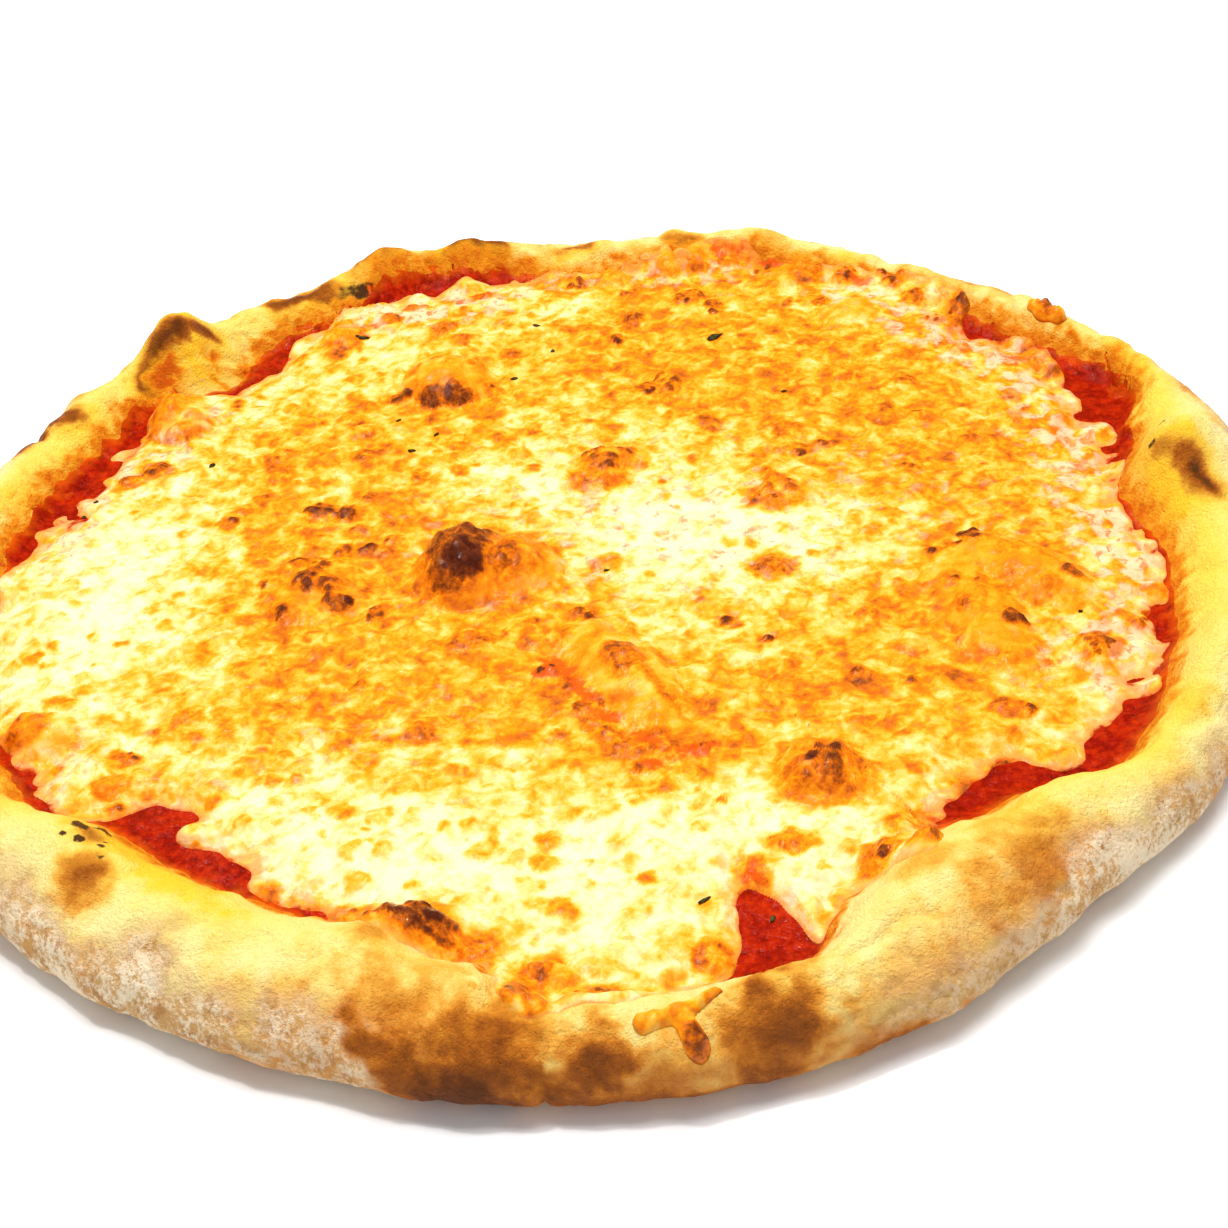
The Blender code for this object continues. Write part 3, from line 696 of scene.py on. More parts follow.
# %% Browned spots: x, y, half length, half width, how brown, turn
BROWNED_SPOTS = (
    # on and round the largest blister
    (-31, -6, 9, 11, 0.94, 10), (-27, -3, 6, 9, 0.96), (-19, -4, 6, 8, 0.7),
    (-15, -9, 4, 6, 0.64), (-35, -13, 4, 5, 0.9), (-24, 2, 8, 3, 0.86), (-38, -2, 2.5, 3, 0.86),
    (-29, -13, 5.5, 5, 1.1), (-33, -17, 5, 3, 0.9), (-19, -11, 5, 5, 0.84), (-13, -5, 3, 4, 0.7),
    # left of it
    (-68, -7, 4, 4.5, 0.86), (-62, -10, 3.4, 4, 0.76), (-60, -16, 3.2, 2.8, 0.92),
    (-74, -17, 3, 2.4, 0.78), (-78, -5, 2.5, 2.5, 0.72), (-78, -11, 2, 2, 0.64),
    (-65, -2, 2.6, 2.4, 0.74), (-51, -21, 2.4, 2.6, 0.84), (-70, 1, 4, 3, 0.8),
    (-60, 6, 2.6, 2.4, 0.82), (-53.5, 6, 2.7, 2.2, 0.9), (-47.5, 8.5, 2.6, 2.2, 0.66),
    (-57, 14, 2.4, 2.2, 0.62), (-67, 24, 4, 3.4, 0.9), (-60, 22.5, 3, 3.4, 0.8),
    (-91, 23, 2.3, 2, 0.82), (-87, 28.5, 2, 2, 0.6), (-56, 28.5, 2.8, 2.4, 0.66),
    (-42, 37, 2.5, 3.6, 0.74), (-31, 37.5, 2, 2, 0.6), (-57, 49, 2.9, 2.9, 0.62),
    (-80, 52, 3, 2.6, 0.62), (-80, 44, 2.5, 4, 0.5), (-120, 48, 3.6, 3.2, 0.8),
    (-113.5, 51, 3.4, 3, 0.8), (-58, 61, 4, 3.4, 0.5), (-28, -34, 6, 3, 0.64),
    # round the blister at the back
    (-39, 71.5, 4.2, 3.2, 0.96), (-31.5, 71.5, 4.4, 3.4, 0.96), (-48, 76, 3.2, 2.4, 0.88),
    (-22, 76, 2.6, 1.8, 0.78), (-44, 87, 2.4, 4, 0.68), (-35, 90, 9, 2, 0.72),
    (-26, 87, 2.4, 4, 0.68), (-32, 51, 3, 3, 0.52), (-21, 52, 3, 2.6, 0.5), (-15, 43, 2, 2, 0.48),
    (-17, 96, 2.5, 2.5, 0.5), (-31, 106, 2.6, 2.6, 0.48), (-36, 114, 3, 3.4, 0.62),
    (-66, 114, 5, 8, 0.55), (-115, 80, 6, 9, 0.52, -20), (-104, 70, 3, 3.6, 0.5),
    (-110, 66, 3, 3, 0.55),
    # upper middle and right
    (8, 34, 7, 4.5, 0.68), (5, 27, 6, 4, 0.5), (7, 31.5, 4, 2.5, 0.8), (56, 32.5, 4.4, 2.4, 0.74),
    (66, 34, 3, 1.6, 0.78), (57, 43, 3, 5, 0.55), (50, 12, 6, 4.2, 0.66), (49, 20, 2.2, 4, 0.6),
    (20, 69, 3, 2.8, 0.84), (26, 70, 4, 5.5, 0.74), (36, 51, 2.2, 6, 0.6, 15),
    (84, 19, 2.4, 2.2, 0.74), (91, 43, 3, 2.2, 0.74), (84, 49, 2, 2, 0.62),
    (91, 59, 2.6, 4, 0.72), (75, 68, 4.5, 4.5, 0.52), (19, 108, 3.3, 3, 0.84),
    (14, 97.5, 2.7, 2.2, 0.84), (20, 124, 2.6, 2.6, 0.78), (37, 118, 5, 3.6, 0.76),
    (44, 111, 2.6, 4, 0.78), (75, 108, 2.2, 1.8, 0.82, 30), (102, 105, 3, 3, 0.8),
    (98, 115, 3.4, 3.4, 0.84), (96, 121, 3, 3, 0.86), (115, 94, 5, 5.5, 0.76),
    (117, 97, 4, 3.6, 0.9), (73, 128, 4.5, 8, 0.62), (106, 92, 3, 3, 0.66), (123, 82, 3, 3, 0.6),
    (132, 70, 6, 10, 0.55, -20), (109, 75, 3, 3.4, 0.56), (36, 140, 7, 8, 0.46),
    (16, 136, 5, 6, 0.5),
    # right middle
    (45, -17, 4.2, 4.2, 0.68), (32, -36, 2.5, 2, 0.84), (39.5, -44.5, 1.7, 1.5, 0.76),
    (5, -9, 3, 2.6, 0.5), (94, -14, 3.6, 3.8, 0.92), (83, -17, 2.2, 1.8, 0.84),
    (88, -16, 1.9, 1.9, 0.84), (113, -34, 2.8, 1.8, 0.92, -40), (95.5, -47.5, 2.8, 2.8, 0.92),
    (107, -37, 2, 2.6, 0.74), (97, -35, 2.4, 3, 0.62), (85, -32, 2.2, 3, 0.74),
    (86, -41, 2.2, 3, 0.76), (92, -60, 2.2, 2, 0.68), (88, -74, 3, 2.4, 0.7),
    (92, -75, 2.4, 2.4, 0.74), (113, -58, 4.4, 3.6, 0.68), (113, -58, 2.2, 2, 0.84),
    (124, -49, 2.6, 1.8, 0.74, 20), (128, -46, 2.4, 2, 0.74), (59, -60, 2.6, 2.4, 0.72),
    (69, -62, 1.8, 1.8, 0.72), (72, -50, 4, 4, 0.46), (64, -38, 2.2, 2.2, 0.6),
    (47, -90, 4, 5, 0.84), (46, -88, 8, 8, 0.58), (103, -24, 1.4, 8, 0.66, 48),
    (91, -36, 1.2, 9, 0.62, -12),
    # the long ridge in the middle
    (-12, -36, 4.6, 4.4, 0.5), (-10, -48, 2.6, 2.4, 0.84), (-6, -52, 3.4, 2, 0.74, -40),
    (-2, -61, 3.2, 3.4, 0.68), (-2, -28, 3, 2, 0.78), (6.5, -48.5, 4.4, 3.6, 0.86),
    (7, -53.5, 3.4, 2.6, 0.8), (12, -56, 1.2, 7, 0.74, 28), (16, -64, 1.1, 4, 0.78, 30),
    (10, -76, 7, 4, 0.62), (22, -78, 2.6, 2, 0.8), (10, -82, 3, 2, 0.66),
    (1, -70, 4, 3, 0.58, -30), (-15, -34, 2, 2, 0.6),
    # lower left and the near edge
    (-39.5, -65, 3.2, 3.2, 0.56), (-91, -51, 2.3, 2.8, 0.54), (-104.5, -64, 3.2, 1.7, 0.8, -35),
    (-129, -51.5, 5, 4, 0.6), (-63, -116, 3, 3.2, 0.62), (-70, -108, 2.4, 3, 0.56),
    (-108, -73, 2.2, 2.2, 0.58), (-105, -78, 2, 1.8, 0.6), (-46, -121, 4.6, 3.6, 0.86),
    (-37.5, -124, 5, 5, 0.92, 20), (-33, -127, 3, 4, 0.84), (-27.5, -129, 3.4, 2.8, 0.58),
    (-53, -117, 5, 2, 0.58, -10), (-62, -113, 3, 3, 0.56), (-58, -128, 3, 4, 0.6),
    (-14, -137, 5, 3.2, 0.66, -20), (-19.5, -145, 1.8, 4.4, 0.86, -10),
    (-15.5, -150, 2, 3.6, 0.72, 10), (-4, -143, 4.5, 2, 0.7), (1, -146, 3, 1.6, 0.66),
    (19, -136, 3.4, 3, 0.58), (37, -108, 4, 2.2, 0.62), (54, -115, 4.5, 2.4, 0.76, 50),
    (64, -118, 4, 3.4, 0.76), (67, -104, 3, 3, 0.56), (76, -95, 2.8, 2.4, 0.62),
    (85, -91, 3.6, 2.8, 0.7), (60, -106, 3, 2.4, 0.58), (28, -116, 2.6, 4, 0.56),
    # along the far edge
    (62, 132, 3.4, 2.6, 0.74), (84, 121, 3.2, 2.6, 0.74), (51, 136, 3, 2.2, 0.68),
    (-52, 122, 3, 2.4, 0.7), (-44, 128, 3.4, 2.4, 0.74), (-24, 132, 3, 2.4, 0.7),
    (4, 134, 3.4, 2.6, 0.72),
)
print(len(BROWNED_SPOTS), "browned spots")

# %% Where the whole sheet is toasted or pale: x, y, half length, half width, amount, turn
TOAST_ZONES = (
    (-60, 2, 36, 26, 0.3), (-60, -45, 42, 22, 0.17), (-30, -35, 26, 20, 0.2),
    (-6, -52, 16, 22, 0.14), (28, 92, 42, 26, 0.22), (70, 62, 46, 40, 0.16),
    (100, 22, 28, 34, 0.22), (92, -36, 26, 28, 0.22), (55, -60, 36, 20, 0.18),
    (-66, 55, 32, 18, 0.14), (13, -77, 17, 8, 0.3), (48, -88, 11, 10, 0.24),
    (40, 135, 40, 12, 0.3), (-30, 72, 20, 12, 0.16), (50, 14, 12, 10, 0.14),
    (-24, -6, 22, 20, 0.26), (115, 92, 14, 14, 0.25), (24, 4, 30, 22, -0.24),
    (-116, -12, 26, 34, -0.24), (-20, -112, 60, 20, -0.18), (-70, -92, 26, 16, -0.14),
    (-112, 22, 20, 16, -0.06), (34, -104, 26, 18, -0.1), (-18, 26, 22, 14, -0.12),
    (6, 118, 14, 10, -0.1), (60, -4, 26, 14, -0.12), (110, -66, 12, 10, -0.12),
    (-90, 62, 16, 12, -0.06), (7, -52, 17, 6, -0.06, -64),
)
# Where sauce boiled up through the sheet.
SAUCE_SPOTS = (
    (-9, -46, 5, 2.6, 0.85, -30), (-3.5, -55, 7, 2, 0.95, -62), (3, -66, 4, 2.2, 0.8, -50),
    (10, -74, 4, 2.2, 0.95, -40), (11, -82, 3, 1.8, 1), (20, -79, 6, 2.4, 0.8),
    (-12, -49, 2.5, 2, 0.8), (28, -116, 3, 5, 0.6), (-57, 119, 4, 2.5, 0.7),
    (-30, 130, 6, 2.5, 0.7, 10), (66, 133, 7, 2, 0.8, -15), (88, 118, 5, 2.5, 0.7, -30),
    (50, 139, 6, 2, 0.8, -8), (8, 141, 6, 2.5, 0.8), (122, 68, 5, 3, 0.7, -50),
    (127, 12, 3, 6, 0.6), (-64, -10, 5, 1.6, 0.5), (48, -84, 4, 1.6, 0.5), (8, 26, 5, 1.8, 0.55),
    (100, -62, 6, 2.2, 0.6, 20),
)
# Where sauce shows pink through thin cheese.
PINK_ZONES = (
    (-40, 126, 36, 14, 0.9, 8), (112, 76, 26, 14, 0.9, -50), (-112, 66, 28, 12, 0.8, 55),
    (128, 30, 13, 26, 0.9), (116, -60, 18, 18, 0.8), (130, -20, 12, 24, 0.9),
    (-122, -62, 16, 12, 0.6), (86, 108, 20, 12, 0.7, -30), (-72, -106, 26, 8, 0.6, -28),
    (8, 6, 60, 40, 0.45), (24, -118, 8, 10, 0.3), (-132, 30, 9, 24, 0.8),
    (76, -100, 26, 7, 0.6, 25), (-60, -70, 40, 20, 0.3), (80, 0, 60, 40, 0.2),
    (36, 134, 30, 10, 0.6, -12),
)
print(len(TOAST_ZONES), "toasted or pale zones", len(PINK_ZONES), "pink ones")


# %% Cheese fields: relief, browning and blisters
def oval_share(x, y, middle_x, middle_y, length, width, turn=0):
    """Distance from an oval's middle as a share of the oval, 1 on its outline."""
    cos, sin = np.cos(np.radians(turn)), np.sin(np.radians(turn))
    along = ((x - middle_x) * cos + (y - middle_y) * sin) / length
    across = ((y - middle_y) * cos - (x - middle_x) * sin) / width
    return np.hypot(along, across)


def ovals_at(x, y, ovals):
    """For each listed oval, the share of it at each place, its smaller half width, its amount."""
    for middle_x, middle_y, length, width, amount, *turn in ovals:
        share = oval_share(x, y, middle_x, middle_y, length, width, *turn)
        yield share, min(length, width), amount


def oval_sum(x, y, ovals):
    """The sum of a bell curve for each oval."""
    return sum(amount * np.exp(-(share**2)) for share, _, amount in ovals_at(x, y, ovals))


def shifted(x, y):
    """The place moved by noise of 4 mm and 1.9 mm, which makes round outlines uneven."""
    place = flat_place(x, y)
    shift_x = 1.1 * noise(place, 4, 101) + 0.5 * noise(place, 1.9, 102)
    shift_y = 1.1 * noise(place, 4, 103) + 0.5 * noise(place, 1.9, 104)
    return x + shift_x, y + shift_y


PLAIN_TOAST = 0.305
ZONE_GAIN = 1.15
TOAST_LIMITS = (0.08, 0.46)
MOST_HALO = 0.52


def cheese_fields(x, y, u, v):
    """Slow relief and browning at a place x, y; domes and low bumps at the shifted place u, v."""
    place = flat_place(x, y)
    mottle = 0.10 * rough(place, 14, 2, 111) + 0.10 * rough(place, 5, 2, 121)
    toast = np.clip(PLAIN_TOAST + ZONE_GAIN * oval_sum(x, y, TOAST_ZONES) + mottle, *TOAST_LIMITS)
    relief = 0.45 * rough(place, 13, 2, 131) + 0.22 * rough(place, 5, 2, 141)
    domes, bumps = np.zeros(x.shape), np.zeros(x.shape)
    for share, _, height in ovals_at(u, v, LARGE_BLISTERS):
        domes = np.maximum(domes, height * (1 - smooth(share, 0.1, 1.25)) ** 0.5)
    for share, size, amount in ovals_at(u, v, BROWNED_SPOTS):
        bumps = np.maximum(bumps, 0.30 * size * np.clip(1.2 - share**2, 0, 1) ** 0.6)
        core = (amount - 0.19) * (1 - smooth(share, 0.7, 1.35))
        halo = min(amount, MOST_HALO) * (1 - smooth(share, 1.1, 2.3))
        toast = np.maximum(toast, np.maximum(core, halo))
    return relief, toast, domes, bumps


# %% Small bubbles
SPOT_WITH_BUBBLES = 0.56  # how brown a spot is at least
STEEP = 4  # a blister higher than this keeps its spots smooth
BUBBLE_ROOM, MOST_BUBBLES = 2.4, 22  # square millimetres for one, and the most in one spot
SCATTER_RADIUS = 141
steep_blisters = [blister for blister in LARGE_BLISTERS if blister[4] > STEEP]


def spot_bubbles(seed):
    """Bubbles inside each dark enough spot, except on the steep blisters: x, y, size, height and
    how brown.  Their number is length times width over the room that one takes."""
    random = np.random.default_rng(seed)
    rows = []
    for x, y, length, width, amount, *turned in BROWNED_SPOTS:
        on_steep = any(share < 1.1 for share, _, _ in ovals_at(x, y, steep_blisters))
        if amount < SPOT_WITH_BUBBLES or on_steep:
            continue
        count = int(np.clip(length * width / BUBBLE_ROOM, 1, MOST_BUBBLES))
        spread, angle = np.sqrt(random.uniform(0, 0.9, count)), random.uniform(0, 2 * np.pi, count)
        along, across = length * spread * np.cos(angle), width * spread * np.sin(angle)
        bubble_x, bubble_y = moved(x, y, along, across, turned[0] if turned else 0)
        size = random.uniform(0.8, 1.3 + 0.13 * min(length, width), count)
        brown_too = np.clip(amount + random.uniform(-0.12, 0.06, count), 0, 1)
        rows.append(np.stack([bubble_x, bubble_y, size, 0.42 * size, brown_too], -1))
    return np.concatenate(rows)


def scattered_bubbles(count, seed):
    """Bubbles spread evenly over the sheet, browner where their zone is."""
    random = np.random.default_rng(seed)
    radius = SCATTER_RADIUS * np.sqrt(random.uniform(0, 1, count))
    angle = random.uniform(0, 2 * np.pi, count)
    size = random.uniform(0.9, 2.5, count) ** 1.2
    x, y = radius * np.cos(angle), radius * np.sin(angle)
    brown_too = random.uniform(0.28, 0.50, count) + 0.3 * oval_sum(x, y, TOAST_ZONES)
    return np.stack([x, y, size, 0.17 * size, brown_too], -1)


def bubble_fields(x, y, bubbles, fade):
    """Relief sqrt(1 - share^2) and browning of many round bubbles, each worked out near itself."""
    relief, toast = np.zeros(x.shape), np.zeros(x.shape)
    for middle_x, middle_y, size, height, amount in bubbles:
        near = (np.abs(x - middle_x) < fade * size) & (np.abs(y - middle_y) < fade * size)
        share = np.hypot(x[near] - middle_x, y[near] - middle_y) / size
        relief[near] = np.maximum(relief[near], height * np.sqrt(np.clip(1 - share**2, 0, 1)))
        toast[near] = np.maximum(toast[near], amount * (1 - smooth(share, 0.6, fade)))
    return relief, toast


# %% [markdown]
# The sheet's top is a square grid pressed into a disc, so that its cells are the same size all
# over, where a grid of rings would crowd in the middle.  The disc reaches a little past the
# sauce.  How thick the cheese is at a place comes from one value, its cover, which falls with the
# distance to the edge and is blown about by noise, so the edge isn't bound to the grid.  Where
# there is no cheese, the sheet dives under the sauce.

# %% How far the cheese covers
# Tongues of cheese, and bays where the reach is below 0: angle, half width, reach.
EDGE_TONGUES = (
    (284.5, 4, 26), (283, 3, -27), (263, 3.5, 8), (270, 5, 6), (137, 6, -12), (252, 4, 6),
    (297.5, 4, 16), (200, 4, 3), (30, 4, 3), (110, 7, -3), (75, 9, 4), (45, 8, 3), (329, 6, -7),
    (245, 2, 4), (14, 6, -8), (35, 5, -7), (354, 6, 4), (90, 5, 6), (148.5, 4, -6), (164, 6, 5),
    (228, 3, 3),
)
# Islands of cheese, and gaps where the amount is below 0.
COVER_MARKS = (
    (-88, -88, 4.5, 3.2, 1.9, -20), (-92, -90, 17, 8, -0.9, -48), (97, -90, 4, 3, 0.8),
    (38, -124, 12, 1.7, 0.8, -84), (-18, -147, 6, 6, 0.9), (-2, -149, 9, 4, 0.8),
    (-121, 20, 4, 2, 0.6), (-126, 34, 5, 2, 0.6, 60), (88, -100, 5, 2, 0.6, 20),
    (122, -72, 4, 3, 0.7), (108, 92, 5, 2, 0.7, -40), (134, 48, 3, 7, 0.7),
    (-57, 131, 5, 3, 0.9, 20), (-45, 136, 4, 2.5, 0.8, 10), (-66, 124, 5, 4, 0.6, 30),
    (-30, 139, 5, 3, 0.9), (131, 62, 5, 2.5, 1, -50), (126, 76, 4, 2, 0.8, -40),
    (139, 30, 2.5, 5, 0.9), (137, 8, 3, 4, 0.8), (96, 112, 5, 3, 0.7, -40), (132, -38, 3, 4, 0.7),
)


# The sheet comes to its full thickness over this width.
COVER_WIDTH = 13


def nominal_edge(angle):
    """The solid's edge and 1.5 mm, plus a wide bulge at the right, plus tongues, less bays."""
    radius = cheese_radius(angle) + 1.5 + 4 * bell(angle, 12, 45)
    for middle, half_width, reach in EDGE_TONGUES:
        radius = radius + reach * bell(angle, middle, half_width)
    return radius


def cheese_cover(x, y):
    """The distance inside the nominal edge, blown about by noise, over the cover's width, plus
    frays where the cheese is pink, plus islands, less gaps.  The sheet shows from about 0 on."""
    radius, angle = polar(x, y)
    place = flat_place(x, y)
    blown = 4.5 * noise(place, 15, 151) + 1.8 * noise(place, 5.5, 152)
    ragged = 0.55 * noise(place, 10, 155) + 0.36 * noise(place, 4.6, 156)
    frayed = np.clip(oval_sum(x, y, PINK_ZONES), 0, 1) * ragged
    inside = (nominal_edge(angle) - radius + blown) / COVER_WIDTH
    return inside + frayed + oval_sum(x, y, COVER_MARKS)


def disc_grid(side):
    """A square grid from -1 to 1 pressed into a disc: x sqrt(1 - y^2/2), y sqrt(1 - x^2/2)."""
    line = np.linspace(-1, 1, side)
    u, v = np.meshgrid(line, line, indexing="ij")
    return u * np.sqrt(1 - v**2 / 2), v * np.sqrt(1 - u**2 / 2)


CHEESE_SIDE = 423  # points along each side of the grid
disc_x, disc_y = disc_grid(CHEESE_SIDE)
share_out, angle_out = polar(disc_x, disc_y)
# The disc ends past the sauce and past the tongues, where the sheet always dives.
PAST_SAUCE, PAST_TONGUES = 3, 7
reach_out = np.maximum(
    sauce_edge(angle_out) + PAST_SAUCE, nominal_edge(angle_out) + PAST_TONGUES,
)
cheese_r = share_out * reach_out
cheese_x = cheese_r * np.cos(np.radians(angle_out))
cheese_y = cheese_r * np.sin(np.radians(angle_out))
print("cheese spacing at most", round(2 * cheese_r.max() / CHEESE_SIDE, 2), "mm")

# %% The cheese's surface
uneven_x, uneven_y = shifted(cheese_x, cheese_y)
relief, toast, domes, bumps = cheese_fields(cheese_x, cheese_y, uneven_x, uneven_y)
spot_relief, spot_toast = bubble_fields(cheese_x, cheese_y, spot_bubbles(191), 1.5)
small_relief, small_toast = bubble_fields(uneven_x, uneven_y, scattered_bubbles(1000, 161), 1.6)
cover = cheese_cover(cheese_x, cheese_y) - 1.5 * smooth(share_out, 0.955, 0.99)
body = smooth(cover, 0.0, 1.0)
# Under the sauce outside the edge, then a thin lip, then the sheet's body.
thickness = -1.3 + 1.55 * smooth(cover, -0.16, 0.1) + (CHEESE - 0.1) * body
bare_sauce = sauce_height(cheese_x, cheese_y)
cheese_z = bare_sauce + thickness + (relief + small_relief) * body
cheese_z = cheese_z + (domes + bumps + spot_relief) * smooth(cover, -0.1, 0.4)
toast = np.clip(np.maximum(toast, np.maximum(small_toast, spot_toast)), 0, 1)
cloudy = smooth(rough(flat_place(cheese_x, cheese_y), 6, 4, 171), -0.45, 0.35)
cheese_paints = {
    "toast": toast,
    "pink": np.clip(oval_sum(cheese_x, cheese_y, PINK_ZONES), 0, 1) * cloudy,
    "thin": 1 - smooth(cover, -0.08, 0.55),
    "blister": smooth(domes, 0.6, 2.5),
    "on_dough": smooth(cheese_r - sauce_edge(angle_out), -2.5, 0.5),
    "boiled": np.clip(oval_sum(uneven_x, uneven_y, SAUCE_SPOTS), 0, 1),
}
print("toast from", toast.min().round(2), "to", toast.max().round(2))
print("cheese up to", cheese_z.max().round(1), "mm high")

# %% [markdown]
# One mesh of this fineness would be too heavy for a single piece, so the sheet is two halves.
# Each half has one row of cells beyond the seam, tucked a hair under the other half.  Light then
# falls on both sides of the seam alike, and the seam doesn't show.


# %% Close each half underneath
def boundary_of(rows, columns):
    """The outer points of a grid in order."""
    index = np.arange(rows * columns).reshape(rows, columns)
    return np.concatenate([index[:-1, 0], index[-1, :-1], index[:0:-1, -1], index[0, :0:-1]])


def sheet_faces(rows, columns):
    """The cells of a grid, facing up."""
    index = np.arange(rows * columns).reshape(rows, columns)
    return cell_faces(index[:-1, :-1], index[1:, :-1], index[1:, 1:], index[:-1, 1:])


SEAM_TUCK, LIP = 0.02, 0.3
cheese_top = np.stack([cheese_x, cheese_y, cheese_z], -1)


def cheese_half(name, rows, tucked):
    """Rows of the grid, one of them tucked, closed by rings that shrink to the half's middle."""
    grid = cheese_top[rows].copy()
    grid[tucked, :, 2] -= SEAM_TUCK
    outline = boundary_of(*grid.shape[:2])
    half = grid.reshape(-1, 3)
    edge = half[outline]
    middle = edge.mean(axis=0)
    rings = []
    inside_bed = np.full(len(edge), INSIDE_BED)
    for share, under_it in ((1.0, edge[:, 2] - LIP), (0.985, inside_bed), (0.4, inside_bed)):
        place = middle[:2] + (edge[:, :2] - middle[:2]) * share
        rings.append(np.column_stack([place, under_it]))
    count, first = len(outline), len(half)
    here, following = first + np.arange(count), first + (np.arange(count) + 1) % count
    last = first + len(rings) * count
    faces = np.concatenate([
        sheet_faces(*grid.shape[:2]),
        cell_faces(outline, here, following, np.roll(outline, -1)),
        ring_faces(len(rings), count, first),
        fan_faces(np.arange(last - count, last), last, False),
    ])
    points = np.concatenate([half, *rings, [[*middle[:2], INSIDE_BED]]])
    hidden = np.zeros(len(points) - len(half))
    paints = {
        paint: np.concatenate([values[rows].ravel(), hidden])
        for paint, values in cheese_paints.items()
    }
    return add_piece(name, points, faces, paints)


seam = CHEESE_SIDE // 2
cheese_halves = [
    cheese_half("melted_cheese_left", slice(0, seam + 2), -1),
    cheese_half("melted_cheese_right", slice(seam - 1, CHEESE_SIDE), 0),
]

# %% [markdown]
# ## The two scraps of cheese on the rim
#
# Two bits of cheese ran on to the dough and baked there.  The one in front is a smear with three
# fingers, the longest of which hangs down the wall and ends in a brown drop.  Each finger is a
# straight capsule, and a soft maximum webs their joins, as surface tension does.


# %% Two scraps
WEB = 1.7  # a smaller number webs the fingers more
ROUNDING = 1.9  # depth at which a scrap comes to its full height
RAY, RAY_STEPS = 16, 400


def depth_inside(x, y, fingers):
    """Half width less distance for each finger, joined as log(sum of exponentials)."""
    total = 0
    for direction, length, start, end in fingers:
        cos, sin = np.cos(np.radians(direction)), np.sin(np.radians(direction))
        along = np.clip(x * cos + y * sin, 0, length)
        away = np.hypot(x - along * cos, y - along * sin)
        total = total + np.exp(WEB * (start + (end - start) * along / length - away))
    return np.log(total) / WEB


def scrap(name, x, y, fingers, height, brown_at, columns=240):
    """Rays from the middle out to the outline, raised by height sqrt(q (2 - q)), where q is the
    depth inside as a share of the rounding.  A finger is direction, length, both half widths."""
    angle = np.radians(np.arange(columns) * 360 / columns)
    steps = np.linspace(0, RAY, RAY_STEPS)[:, None]
    inside = depth_inside(steps * np.cos(angle), steps * np.sin(angle), fingers) > 0
    reach = steps[np.argmin(inside, axis=0), 0]
    reach = (np.roll(reach, 1) + reach + np.roll(reach, -1)) / 3
    shares = np.concatenate([np.linspace(0.03, 1, 34), (0.93, 0.5, 0.1)])[:, None]
    along, across = shares * reach * np.cos(angle), shares * reach * np.sin(angle)
    px, py = x + along, y + across
    place = flat_place(px, py)
    q = np.clip(depth_inside(along, across, fingers) / ROUNDING, 0, 1)
    dome = np.sqrt(q * (2 - q)) * (1 + 0.5 * rough(place, 2.6, 2, 181))
    pz = dough_under(px, py) + 0.1 + height * dome
    pz[-3:] -= 0.7
    away = np.hypot(px - brown_at[0], py - brown_at[1])
    toast = 0.44 + 0.12 * rough(place, 3, 2, 185) + 0.26 * (1 - smooth(away, 1.2, 4))
    paints = dict.fromkeys(cheese_paints, 0 * px)
    paints.update(toast=np.clip(toast, 0, 1), blister=0 * px + 0.5)
    return shell(name, np.stack([px, py, pz], -1), paints)


front_scrap = scrap(
    "cheese_drip_on_front_rim", 10.5, -156.5,
    ((192, 6.5, 1.5, 2.0), (26, 8.0, 1.5, 1.1), (-64, 6.0, 1.6, 2.4)), 1.5, (13.2, -162),
)
back_scrap = scrap(
    "cheese_lump_on_back_rim", 134, 80,
    ((-52, 4.5, 3.0, 2.2), (128, 3.5, 3.0, 2.4)), 2.6, (134, 80),
)

# %% [markdown]
# ## Herbs
#
# A few dried leaves lie on the cheese, the sauce and the crust.  They are flat, dark and curled at
# the rim, so each is a small lens of twelve sides, and all of them are one mesh.

# %% Herb flecks: x, y, half length, half width, turn
HERBS = (
    (42, 93, 2.7, 1.1, 35), (58, 61.5, 1, 0.6, 20), (-98, 50.5, 1.3, 0.6, 60),
    (-44, 48.5, 1.1, 0.6, 0), (-48, 64, 0.9, 0.5, 30), (-9, 109, 1.2, 0.7, -30),
    (-4.5, 95, 1, 0.6, 80), (-16, 81, 1.1, 0.6, 10), (-60, 111, 2.4, 0.6, 25),
    (-37.5, 56, 1, 0.6, 50), (31, -126, 1, 0.5, 70), (18, -122, 1.5, 0.4, 30),
    (-128, 40, 0.9, 0.8, 0), (-131, 36, 0.7, 0.5, 0), (112, -45, 0.8, 0.5, 40),
    (5, -12, 0.8, 0.4, 10),
)


def top_under(fleck, room=5):
    """Height of the cheese or the bare sauce at the grid's nearest place to each of the points."""
    middle_x, middle_y = fleck.mean(axis=0)
    near = np.hypot(cheese_x - middle_x, cheese_y - middle_y) < room
    away = (cheese_x[near] - fleck[:, :1]) ** 2 + (cheese_y[near] - fleck[:, 1:]) ** 2
    nearest = np.argmin(away, axis=1)
    return np.maximum(cheese_z[near], bare_sauce[near])[nearest]


